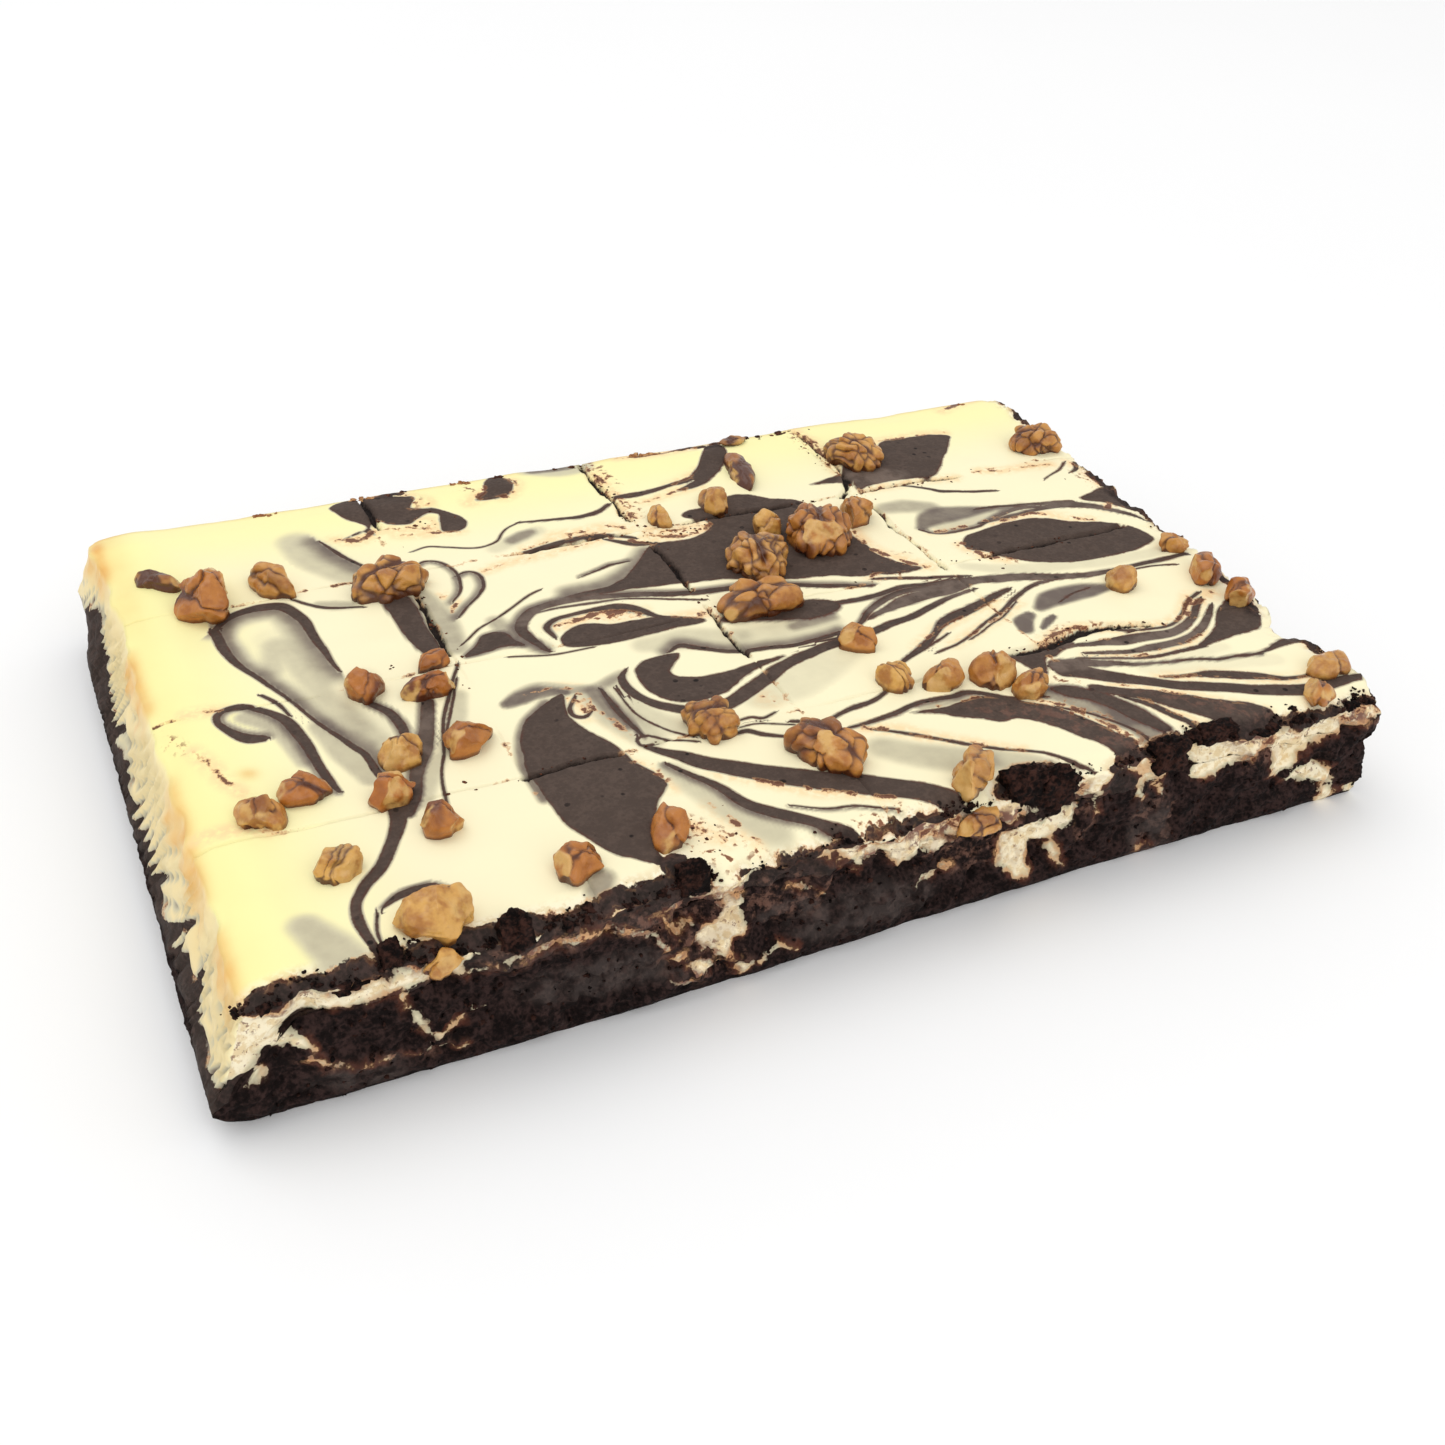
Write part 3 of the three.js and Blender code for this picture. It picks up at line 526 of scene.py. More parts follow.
# Soft greys where cocoa lies just under the cheese: cover, how soft, half widths, line
VEILS = (
    (0.25, 4, (1, 1.4, 1.4, 1, 1), ((-117, 15), (-113, 27), (-110, 14), (-107, -3), (-101, -24))),
    (0.14, 6, (3, 5, 3), ((-114, 30), (-112, 10), (-106, -16))),
    (0.45, 3, (1, 1.6, 1), ((-128, -4), (-121, -12), (-118.5, -26))),
    (0.40, 3, (1.6, 2.4, 1.6), ((-112, -14), (-109, -26), (-106, -38))),
    (0.18, 5, (2, 3, 2), ((-97, 4), (-100, -12), (-100, -28))),
    (0.35, 6, (3, 4.5, 3), ((-96, 78), (-93, 67), (-87, 56))),
    (0.42, 5, (1.5, 2.5, 3), ((-132, -82), (-129, -89), (-126, -97))),
    (0.60, 3, (1.6, 1.6), ((-72, -94), (-70, -91))),
    (0.50, 4, (1.5, 2, 1.5), ((-72, 36), (-70, 24), (-71, 8))),
    (0.35, 3, (1, 2), ((-77, -13), (-85, -32))),
    (0.35, 3, (1.2, 1.6), ((-90, -36), (-98, -50))),
    (0.45, 3, (0.4, 1.2, 0.6), ((-98.5, 42), (-95, 40), (-91, 38.5))),
    (0.60, 2.5, (0.8, 1.2, 0.4), ((-38, 58), (-34, 60), (-31, 61))),
    (0.25, 4, (1, 1), ((-44, 55), (-29, 61))),
    (0.50, 3.5, (1, 1.5, 1.5), ((-57, 17), (-55, 9), (-50, 0))),
    (0.75, 6, (0.5, 0.8, 0.8), ((-33, 24.5), (-20, 26), (-12, 30), (-4, 37))),
    (0.35, 5, (1, 3, 4), ((-18, 99), (-10, 96), (-3, 98))),
    (0.70, 2.2, (0.8, 1.2), ((-17, 98.5), (-6, 98))),
    (0.30, 5, (1, 3, 2), ((-24, -7), (-12, -9), (0, -12))),
    (0.25, 5, (1.5, 3, 2), ((6, -13), (16, -15), (28, -15))),
    (0.55, 2.5, (0.6, 1.0), ((18, -13.5), (30, -12.5))),
    (0.45, 2.5, (1.0, 1.6, 1.0, 0.6, 0.5), ((-66, -20.5), (-63, -18.5), (-57, -17), (-50, -20.5),
                                            (-43, -21.5), (-35, -18))),
    (0.80, 1.8, (0.8, 2.0, 1.6, 0.6), ((-67, -20.5), (-63, -19.5), (-58, -19), (-52, -21.5))),
    (0.60, 2.0, (1.0, 1.6, 1.2), ((-45, -23), (-44, -30), (-43, -40))),
    (0.35, 4, (1.5, 3, 2), ((-47, -24), (-44, -36), (-40, -48))),
    (0.30, 5, (1, 2, 1), ((-38, -22), (-38, -34), (-32, -46))),
    (0.80, 2.5, (0.5, 0.5), ((-58, -24), (-66, -31), (-71, -44), (-71.5, -60))),
    (0.35, 5, (1, 2, 2), ((-40, -62), (-34, -78), (-28, -92))),
    (0.22, 6, (3, 5, 4, 1), ((-6, -41), (6, -38), (18, -33), (26, -31))),
    (0.90, 2.5, (0.5, 3.0, 3.2, 2.5, 0.8), ((88, -30), (94, -27), (101, -26), (108, -26), (114, -26.5))),
    (0.92, 1.6, (1.5, 2.2, 1.0), ((77, -39), (79, -35), (83, -32.3))),
    (0.95, 1.2, (0.3, 0.9, 0.5), ((82, -40), (86, -37), (89, -35.3))),
    (0.80, 2.8, (0.5, 3.0, 3.5, 2.5, 0.5), ((82, 23.5), (87, 27), (93, 28), (100, 27.5), (107, 26))),
    (0.50, 4, (1.5, 2.2, 1.5), ((78, 38), (84, 37), (91, 34))),
    (0.38, 5, (2, 3, 3), ((12, -72), (22, -80), (31, -85))),
    (0.38, 4, (2, 3), ((36, -86), (45, -95))),
    (0.60, 3, (2, 4, 3), ((66, -66), (72, -74), (75, -84))),
    (0.70, 2.5, (2, 3, 3), ((76, -74), (77, -84), (78, -93))),
    (0.15, 3, (1, 2, 1.5), ((96, -67), (116, -72), (134, -76))),
    (0.15, 3, (1, 2, 1), ((92, -60), (108, -64.5), (124, -66))),
    (0.22, 3, (1, 2, 1), ((80, -3), (96, -9), (130, -15), (148, -15))),
    (0.45, 2, (0.6, 1.2, 0.6), ((30, -60.5), (42, -61), (52, -63.5))),
    (0.30, 3, (1.5, 2), ((88, 21), (104, 22.5), (120, 24))),
)

# Reddish brown streaks, where crumb shows through thin cheese: half widths, line
RUST_LINES = (
    # The back left
    ((0.8, 1.4, 0.8), ((-86, 76), (-80, 74), (-74, 77))),
    ((0.5, 1.0, 0.5), ((-70, 77), (-62, 75), (-55, 72.5))),
    ((0.3, 0.5, 0.3), ((-68, 72), (-60, 70.5), (-50, 69))),
    ((0.7, 1.2, 0.6), ((-66, 88), (-60, 85), (-54, 87))),
    ((0.5, 0.9, 0.5), ((-60, 96), (-56, 91), (-55, 86))),
    ((0.8, 1.6, 0.9), ((-42, 84.5), (-36, 87), (-31, 85))),
    ((0.4, 0.8, 0.4), ((-26, 96), (-25, 91), (-28, 86.5))),
    ((0.4, 0.6, 0.4), ((-60, 80), (-56, 77), (-58, 75))),
    ((0.3, 0.5, 0.3), ((-67, 34), (-64, 30), (-66, 26))),
    ((0.1, 0.35, 0.3, 0.1), ((-142, -14), (-139.5, -21), (-137.5, -28), (-135, -34))),
    ((0.2, 0.5, 0.4, 0.2), ((-147, -45.5), (-141, -46), (-136, -47), (-131, -49))),
    ((0.1, 0.35, 0.1), ((-141, 1), (-136, 0.6), (-131, 0.8))),
    # Round the eye and the dark middle
    ((0.3, 0.8, 0.6), ((-36, 52), (-24, 54.5), (-10, 53))),
    ((0.3, 0.7, 0.7, 0.5), ((-26, 57), (-18, 56), (-10, 56.5), (-4, 53))),
    ((0.1, 0.3, 0.2, 0.3), ((-52, 44), (-38, 46.5), (-26, 48), (-14, 49))),
    ((0.6, 1.2, 1.0), ((-10, 49), (-5, 45), (0, 42))),
    ((0.3, 0.7, 0.7, 0.4), ((-44, 9), (-36, 11.5), (-28, 11), (-18, 5))),
    ((0.4, 0.8, 0.4), ((-29, 11), (-27, 9), (-26, 7))),
    ((0.3, 0.5, 0.4), ((-14, 2.5), (-8, 1.5), (-2, 1))),
    ((0.3, 0.9, 0.9, 0.4), ((1, 46), (8, 43.5), (16, 43.5), (22, 48))),
    ((0.3, 0.6, 0.3), ((2, 50), (10, 47), (18, 47))),
    ((0.4, 0.9, 1.0, 0.7), ((61, 28), (60.5, 18), (64, 9), (70, 1))),
    ((0.4, 0.9, 0.6), ((52, 3), (60, 5), (66, 9))),
    # The back right
    ((0.4, 0.5, 0.3), ((8, 67), (18, 69), (28, 71))),
    ((0.5, 0.9, 0.5), ((20, 74), (28, 77), (34, 81))),
    ((0.5, 0.8, 0.6, 0.5), ((0, 98), (1, 86), (1.5, 72), (1, 58))),
    ((0.5, 0.8, 0.5), ((76.5, 97), (78, 82), (75.5, 64))),
    ((0.5, 0.9, 0.6), ((12, 98), (24, 96), (38, 98))),
    ((0.5, 1.0, 0.8, 0.5), ((80, 51), (92, 51), (102, 50.5), (110, 49.5))),
    ((0.3, 0.5, 0.5, 0.3), ((120, 50), (128, 47), (136, 46.5), (146, 46.5))),
    ((0.4, 0.5, 0.3), ((98, 80), (112, 81), (126, 80.5))),
    ((0.7, 1.2, 0.7), ((87, 9), (89, 3), (95, -3))),
    ((0.4, 1.0, 0.8, 0.4), ((104, 16.5), (116, 18.5), (122, 18), (136, 9.5))),
    ((0.4, 0.6, 0.4), ((84, 20), (98, 18.5), (112, 21.5))),
    ((0.8, 1.2, 0.8), ((145, 14), (151, 21), (156, 29))),
    ((0.8, 1.2, 1.0), ((154, 46), (155, 38), (154, 28))),
    ((0.6, 1.2, 0.7), ((134, 95), (142, 98.5), (150, 101))),
    # The middle and the front
    ((0.5, 1.1, 0.8, 0.3), ((-49, -22), (-48, -28), (-46, -36), (-44, -44))),
    ((0.4, 0.7, 0.4), ((-53, -24), (-50, -27), (-51, -33))),
    ((0.1, 0.3, 0.2), ((-62, -18.5), (-55, -18.5), (-47, -22))),
    ((0.3, 0.5, 0.4), ((-50, -52), (-46, -58), (-43, -67))),
    ((0.2, 0.6, 0.3), ((-45, -80), (-42, -86), (-40, -90))),
    ((0.3, 0.6, 0.4), ((-37, -76), (-35, -84), (-33, -92))),
    ((0.4, 0.6, 0.4), ((-30, -66), (-14, -79), (4, -89.5))),
    ((0.6, 0.9, 0.5), ((-6, -43), (-5, -41), (-4, -44))),
    ((0.3, 0.6, 0.6, 0.4), ((44, -36), (56, -28.5), (66, -25), (78, -22))),
    ((0.3, 0.5, 0.4), ((54, -38), (70, -32), (84, -25))),
    ((0.5, 0.8, 0.7, 0.4), ((12, -62), (22, -69), (32, -77), (44, -86))),
    ((0.3, 0.5, 0.6, 0.6), ((34, -62), (48, -62), (60, -72), (69, -88))),
    ((0.5, 1.1, 1.0, 0.6), ((58, -66), (64, -71), (68.5, -79), (72, -90))),
    ((0.6, 1.4, 1.6, 1.0), ((-42, 9), (-34, 11.3), (-26, 11.5), (-18, 9))),
    ((0.4, 0.9, 0.8, 0.4), ((76, -46.5), (88, -43.5), (98, -45), (108, -50))),
    ((0.3, 0.5, 0.5, 0.6), ((94, -44), (112, -50), (122, -49), (134, -40))),
    ((0.3, 0.5, 0.4), ((86, -56.5), (104, -61), (124, -58))),
    ((0.5, 1.0, 0.8), ((126, -48), (134, -43), (142, -40))),
    ((0.4, 0.7, 0.5, 0.3), ((98, -71.5), (112, -76), (126, -83), (138, -86))),
    ((0.3, 0.5, 0.4), ((84, -70), (100, -82), (114, -94))),
    ((0.4, 0.7, 0.5), ((86, -78), (90, -86), (95, -95))),
    ((0.4, 0.8, 0.5), ((146, -70), (150, -76), (148, -84))),
)

# Stretches speckled with fine rusty crumb: half widths, line
SPECKLED = (
    ((2.0, 4.5, 4.5), ((-47, -78), (-43, -88), (-38, -96))),
    ((1.0, 2.0, 1.0), ((-47, -52), (-45, -58), (-44, -64))),
    ((0.3, 0.7, 0.3), ((-149, -2), (-147, -7), (-144.5, -12))),
    ((1.0, 2.4, 2.4, 1.0), ((1, 49), (8, 46), (16, 46), (22, 49))),
    ((1.0, 2.0, 1.2), ((2.5, 97), (3, 80), (3, 60))),
    ((1.0, 2.2, 1.4), ((75, 96), (75.5, 80), (76, 62))),
    ((1.0, 3.0, 2.0), ((56, 1), (62, 5), (66, 10))),
    ((1.5, 3.0, 1.5), ((-74, 88), (-66, 84), (-58, 90))),
    ((1.0, 2.0, 1.0), ((-40, 92), (-34, 90), (-28, 94))),
    ((0.8, 1.6, 0.8), ((78, -45), (92, -43), (106, -48))),
    ((1.0, 2.0, 1.0), ((88, 10), (91, 3), (97, -3))),
    ((1.0, 1.6, 1.0), ((-20, 12), (-24, 11), (-30, 9))),
    ((0.8, 1.6, 0.8), ((150, 40), (152, 28), (150, 14))),
    ((1.0, 2.0, 1.0), ((-8, -96), (4, -95), (14, -97))),
    ((1.0, 2.2, 2.4, 1.6), ((58, -66), (65, -73), (69.5, -82), (72.5, -92))),
    ((0.6, 1.2, 0.6), ((60, -62), (68, -62), (74, -64))),
)

# Stretches where the cocoa is thin and greyer: half widths, line
THIN_COCOA = (
    ((1.5, 3.0, 3.2, 2.4), ((44, -14), (56, -12), (70, -12), (84, -12))),
    ((2.4, 1.8, 1.2), ((84, -12), (100, -15.5), (118, -20))),
    ((1.5, 3.0, 3.6, 2.4), ((84, -52), (98, -55.5), (114, -57), (130, -51))),
    ((2.4, 2.0, 1.0), ((76, -57.5), (90, -61.5), (106, -66.5))),
    ((3.0, 5.0, 2.0), ((74, 56), (84, 59), (94, 56))),
    ((1.0, 2.0, 2.4, 1.6), ((84, 19), (108, 21), (130, 22), (148, 12))),
    ((1.4, 1.8, 1.4), ((-50, 14), (-36, 21), (-14, 17.5))),
    ((1.0, 1.4, 1.0), ((-97, -42), (-92, -32), (-87, -18))),
)

# Stretches where the cocoa is mottled and redder: half widths, line
MOTTLED_COCOA = (
    ((1.5, 3.5, 4.0, 4.0, 3.0), ((44, -65), (54, -71), (61, -78), (66, -87), (70, -96))),
    ((1.5, 3.0, 4.0, 4.0), ((88, -74), (98, -81), (107, -88), (115, -96))),
)

# Ragged dark crumb along the cut edges and the back rim, dragged over the cheese by the knife
EDGE_CRUMB = (
    ((2.2, 3.0, 2.4, 2.8), ((-149, -98), (-130, -97.5), (-100, -97), (-78, -98), (-50, -97))),
    ((3.0, 2.2), ((-53, -93), (-50, -98))),
    ((1.0, 1.8, 1.2), ((-40, -99), (-24, -99), (-12, -98))),
    ((1.2, 2.2, 1.4), ((-6, -98), (6, -98), (16, -99))),
    ((2.4, 4.2, 3.8, 2.0), ((31, -96), (38, -94), (46, -96), (52, -99))),
    ((1.0, 2.4, 2.6, 1.4), ((62, -99), (74, -97), (84, -96), (96, -98))),
    ((1.6, 2.2, 1.8, 2.0), ((96, -98), (112, -99), (130, -99), (148, -99))),
    ((1.2, 1.8, 1.0, 1.6), ((156, 40), (155, 24), (155, 8), (154, -10))),
    ((1.0, 2.2, 1.4), ((153, -22), (150, -44), (146, -54))),
    ((1.0, 1.6), ((152, -68), (148, -76))),
    ((0.8, 1.4, 0.8), ((159, 96), (159, 84), (157, 70))),
    ((0.6, 1.2), ((-72, 99), (-60, 97))),
    ((0.6, 1.6, 0.8), ((28, 100), (40, 97), (52, 98))),
)

# Where the scores have torn the top open
TEARS = (
    ((0.7, 1.1, 0.7), ((-72.5, 37), (-73, 22), (-73.5, 6))),
    ((0.6, 1.0, 0.5), ((-72.5, 99), (-72, 88), (-72, 78))),
    ((0.6, 0.9, 0.7, 0.9), ((-1, 98), (-1.5, 84), (-0.5, 70), (-1, 58))),
    ((0.7, 0.9, 0.6), ((-1, 40), (0, 28), (0, 14))),
    ((0.5, 0.7, 0.5), ((0, 4), (-0.5, -8), (0, -22))),
    ((0.5, 0.7, 0.4), ((76, 96), (77, 78), (76, 56))),
    ((0.7, 1.1, 0.6), ((76, 62), (73, 55), (68, 49))),
    ((0.4, 0.5, 0.4), ((75, 44), (74, 20), (74, -2))),
    ((0.7, 0.8, 0.6), ((-73, -50.5), (-60, -50), (-49, -50.3))),
    ((0.6, 0.9, 0.7), ((90, 0.5), (116, 1), (142, 2))),
    ((0.5, 0.9, 0.6), ((14, 50), (30, 51), (50, 50))),
    ((0.5, 0.9, 0.7), ((76, 50.5), (92, 51), (112, 50))),
    ((0.8, 1.6, 1.4, 0.9), ((60, -47), (78, -48.5), (96, -45), (112, -49))),
    ((0.4, 0.6, 0.4), ((-40, 50), (-22, 51), (-4, 50))),
)


def with_haze(marks, haze):
    """Lines with the same haze on both sides."""
    return [((haze, haze), widths, points) for widths, points in marks]


def patches_of(outlines, haze):
    """Patches with the same haze."""
    return [(haze, outline) for outline in outlines]


# Where the top of the left side has browned, from and to along it, and a browned spot of the top
TOASTED = ((-97, -74), (-64, -46), (-43, -19), (6, 36), (76, 98))
BROWN_SPOT, BROWN_SPOT_REACH = (-132, -27), 2.2


def toasted_lip(y):
    y = y + 2.5 * noise(y / 6, 1.0, 6.0)
    return sum(smooth((y - start) / 9 + 0.5) * smooth((end - y) / 9 + 0.5) for start, end in TOASTED)


def score_offsets(x, y):
    """How far each place is from each of the scores, which wander a little."""
    wander = 0.5 * noise(x / 23, y / 23, 12.0)
    return [x - cut + wander for cut in CUTS_X] + [y - cut + wander for cut in CUTS_Y]


def score_rust(x, y):
    """Crumb that the knife left along the scores, as a depth."""
    off = np.abs(score_offsets(x, y)).min(0)
    return 0.15 - 0.7 * off - 1.4 * smooth(0.5 + 1.5 * noise(x / 8, y / 8, 21.0))


def grey_veils(x, y, clear):
    """How much grey covers each place, where clear is what the marks' own hazes leave."""
    for cover, soft, widths, points in VEILS:
        near, depth, _ = in_line(x, y, (soft, soft), widths, points)
        clear[near] *= 1 - cover * smooth(1 + depth / soft)
    return 1 - clear


def toasted_top(x, y):
    """How brown the top is, along its baked rims and at one spot near the left."""
    toasted = 0.9 * toasted_lip(y) * hill((x - LEFT - 1) / 2) + 0.3 * hill((BACK - y) / 1.5)
    toasted = toasted + mix(0.1, 0.34, smooth((y - 20) / 50)) * hill((x - LEFT - 4) / 5)
    return toasted + 0.75 * hill(np.hypot(x - BROWN_SPOT[0], y - BROWN_SPOT[1]) / BROWN_SPOT_REACH)


def top_fields(x, y):
    """The marbling of the top at each place."""
    marks, haze = field(x, y, patches=COCOA_PATCHES, ragged=0.2)
    _, line_haze = field(x, y, [*LINES_A, *LINES_B])
    edge, by_edge = field(x, y, with_haze(EDGE_CRUMB, 3.0), ragged=0.9)
    tears, _ = field(x, y, with_haze(TEARS, 2.0), ragged=0.4)
    streaks, stain = field(x, y, with_haze(RUST_LINES, 4.0))
    _, thin = field(x, y, with_haze(THIN_COCOA, 2.0))
    _, speck = field(x, y, with_haze(SPECKLED, 2.5))
    _, mottled = field(x, y, with_haze(MOTTLED_COCOA, 2.0))
    yellow = np.maximum(smooth(1 - (x - LEFT) / 50), 0.8 * smooth(1 - (BACK - y) / 50))
    out = {
        "cocoa": np.maximum(marks, edge),
        "tear": tears,
        "veil_and_valley_shade": grey_veils(x, y, (1 - 0.8 * haze) * (1 - 0.8 * line_haze)),
        "yellow": yellow,
        "bake": toasted_top(x, y),
        "rust": np.maximum.reduce([streaks, edge - 0.1, tears - 0.3, score_rust(x, y)]),
        "stain": stain,
        "thin": thin,
        "speck": speck,
        "smear": 0.75 * mottled * smooth(marks),
        "fringe": clamp(0.15 + (x + 60) / 80),
        "cut": 0.9 * by_edge,
    }
    for layer, lines in (("a", LINES_A), ("b", LINES_B)):
        for key, values in zip(("across", "off", "half"), strokes(*swayed(x, y), lines)):
            out[f"{key}_{layer}"] = values
    return out


# The cut faces, as places (along, height) on the front

FACE_CHEESE_LINES = (
    ((1.0, 1.8, 1.6, 1.2), ((-151, 30), (-144, 29.5), (-134, 30.8), (-124, 29.5), (-116, 27.5))),
    ((0.6, 1.0, 0.5, 1.2, 0.5), ((-117, 25), (-114.5, 19), (-112, 13), (-109, 11.5), (-100, 15.5))),
    ((0.5, 1.2, 0.4), ((8, 14.5), (13, 14.5), (18, 16.5))),
    ((0.5, 1.4, 0.8, 0.5), ((47.5, 17), (49, 12), (52, 7), (54.5, 4))),
    ((1.0, 1.2, 1.0, 0.8), ((50, 37), (55, 32.5), (58.5, 27), (60.5, 21))),
    ((1.2, 1.3, 1.0, 0.8, 1.0, 0.7), ((61, 37), (67, 33), (72, 30), (72, 27), (71.5, 24), (75, 20.5))),
    ((0.5, 0.6, 0.7, 0.8), ((74, 27), (79, 26.5), (83, 29), (86, 31))),
    ((0.4, 0.6, 0.3), ((77, 25), (79, 24), (80.5, 22.3))),
    ((0.3, 0.5, 0.3), ((35, 32), (36, 28.5), (40, 27.5))),
    ((0.5, 0.8, 0.8, 0.7, 0.6, 0.4),
     ((-99, 26.5), (-92, 29), (-80, 29), (-70, 28), (-62, 24.5), (-58, 18))),
    ((0.3, 0.4, 0.3, 0.3), ((-138, 18), (-131, 11.5), (-118, 9), (-104, 5.5))),
    ((0.3, 0.4, 0.5, 0.3), ((-36, 5.5), (-31, 6.5), (-27, 7), (-24, 6))),
    ((0.3, 0.6, 0.5, 0.6), ((-27.5, 25.5), (-24, 24), (-20.5, 22.5), (-17.5, 20.5))),
    ((0.4, 0.5, 0.6, 0.4), ((-62, 28.5), (-56, 29.3), (-50, 29.6), (-45, 29.2))),
    ((0.3, 0.5, 0.6, 0.4), ((-58.5, 27), (-57, 23.5), (-54.5, 20), (-51.5, 22))),
    ((0.5, 0.6, 0.4, 0.3), ((-57, 8), (-53, 6.2), (-48.5, 6.2), (-45, 8.5))),
    ((0.4, 1.2, 0.4), ((-56, 13.5), (-54, 14.2), (-52, 13))),
    ((0.4, 0.6, 0.4), ((77, 3.5), (79, 3), (81, 4))),
)
FACE_CHEESE_PATCHES = (
    ((-158, 27), (-153, 34), (-148, 33), (-142, 27), (-136, 18.5), (-140, 20), (-144, 20), (-149, 16.5),
     (-155, 16)),
    ((-145.5, 17.5), (-143.5, 15.5), (-142, 13), (-143.5, 12)),
    ((-49.5, 21), (-46, 22.5), (-45, 29), (-41.5, 29), (-38.5, 26), (-37, 22), (-35.5, 19), (-37, 15.5),
     (-41, 14), (-41.5, 11), (-40.5, 9), (-43.5, 11), (-47, 13), (-50, 16.5)),
    ((-52, 12), (-48, 12.5), (-45.5, 9), (-48, 7), (-51, 8.5)),
    ((-41, 8), (-38.5, 2.8), (-36.3, 3), (-36.5, 6.5)),
    ((-25, 31), (-22.5, 27.5), (-19, 26.5), (-15.5, 25), (-14, 28), (-14, 31)),
    ((-11, 28.5), (-5, 32.5), (3, 31), (9, 29), (8, 25), (2, 21.5), (-2, 27), (-7, 28), (-9, 24)),
    ((30, 22), (35, 22.5), (40, 25), (44, 22.5), (50, 25), (54, 25), (53, 18.5), (49, 18), (46, 15),
     (42, 12), (43, 4.5), (36, 8), (32, 14)),
    ((85, 35.5), (93, 35.5), (98, 31), (108, 30), (106, 24), (98, 22.5), (90, 22), (90.5, 27), (87, 31)),
    ((116, 28), (124, 29), (133, 31), (139, 27), (134, 24), (128, 22), (126, 17), (121, 15), (116, 19)),
    ((125, 12.5), (131, 17.5), (137, 15), (141.5, 11), (142, 5), (137, 9), (129, 11)),
    ((137.5, 6), (141, 7), (143, 2), (140, -1), (138, 1)),
    ((145.5, 4.5), (151, 4), (150, 0), (146, 1)),
    ((5, 29), (11, 28), (17, 26), (16, 22.5), (9, 23)),
)
FACE_COCOA_PATCHES = (
    ((-149, 41), (-149, 35), (-144, 33.5), (-136, 33), (-126, 33), (-117, 31), (-112, 34), (-100, 33),
     (-94, 31), (-80, 31), (-66, 31), (-50, 31), (-47, 36), (-60, 42), (-120, 42)),
    ((34.5, 36), (40, 41), (47, 37), (52, 30), (50, 26.5), (42, 26), (37, 30)),
    ((75, 30), (76, 40), (84, 40), (86, 34), (83, 30.5)),
    ((88, 40), (90, 37), (100, 34), (112, 32), (124, 30.5), (140, 33), (140, 42)),
    ((143, 24), (151, 26), (153, 12), (150, 6), (143, 5), (139, 16)),
    ((-101, 31.5), (-100, 25), (-80, 24), (-57, 23), (-52, 27), (-54, 32), (-78, 33)),
    ((-57, 30), (-56, 23), (-52, 22), (-51, 29)),
    ((-49, 29), (-49.5, 23), (-46.5, 23), (-46.5, 29)),
    ((-37, 32), (-36, 13), (-21, 13), (-14, 24), (-16, 31)),
    ((-18, 29), (-12, 27), (-9, 20), (-14, 14), (-20, 16)),
    ((-38, 29), (-28, 30), (-24, 27), (-30, 22), (-36, 24)),
    ((62, 33), (70, 33), (71, 22), (62, 20)),
    ((-99, 38), (-99, 29.5), (-84, 30), (-84, 38)),
)
# Crumb and cheese dragged into each other, pinkish brown
FACE_SMEAR_PATCHES = (
    ((-147, 34.5), (-130, 35), (-112, 34), (-110, 30.5), (-130, 31.8), (-148, 31)),
    ((-60, 30), (-46, 31), (-34, 30), (-20, 30), (-14, 22), (-20, 13), (-36, 15), (-38, 4), (-50, 4),
     (-60, 12)),
    ((-10, 34), (8, 35), (19, 31), (31, 24), (30, 14), (20, 14), (8, 16), (4, 22), (-8, 26)),
    ((53, 31), (57.5, 29), (60, 20), (58, 13), (54, 14)),
    ((72, 21), (84, 20), (88, 0), (78, -1), (75, 10)),
    ((100, 34), (116, 33), (118, 22), (108, 21), (102, 27)),
    ((138, 34), (152, 36), (152, 28), (144, 25), (138, 28)),
    ((-99, 31), (-84, 32), (-66, 32), (-56, 30), (-57, 16), (-63, 24), (-78, 27.5), (-98, 26)),
    ((-138, 17), (-130, 12), (-116, 10), (-104, 7), (-110, 6), (-124, 9), (-134, 12)),
    ((34, 14), (38, 16), (46, 15), (44, 11), (37, 10.5)),
    ((20, 31), (35, 30), (36, 22), (30, 14), (20, 14)),
    ((88, 40), (106, 38), (112, 31), (98, 31.5), (88, 36)),
)
# Pale bloom where the blade has smoothed the crumb: haze, half widths, line
FACE_BLOOM_LINES = (
    (4, (2, 4, 3.5, 2), ((-90, 17), (-78, 15.5), (-66, 15.5), (-54, 11))),
    (6, (3, 4, 3), ((-20, 12), (-6, 12), (8, 10))),
    (5, (2, 2.5), ((-132, 8), (-122, 6))),
    (2.5, (3.5, 5, 5.5), ((78, 19), (80, 10), (82, 1))),
    (1.5, (0.6, 1, 1, 0.8), ((-34, 17), (-28, 19), (-22, 18.5), (-19, 14), (-18, 9))),
)

# Torn holes of the front: place along it, height, half width and half height
TORN_HOLES = (
    (-54.5, 23, 3.2, 4.2), (-49, 25, 3.2, 3.4), (-44, 7, 3, 2.6), (-32, 12, 8.5, 3.6), (-3, 23.5, 3.6, 3.4),
    (5.5, 19.5, 4.2, 2.8), (45, 12, 3.4, 3), (87.5, 27.5, 3, 3.4), (124, 22, 3, 3), (134, 17, 4.4, 3.4),
)
HOLE_DEPTH = 3.0
RIGHT_SHIFT = 34     # the right face carries the front's kinds of marks, moved along by this


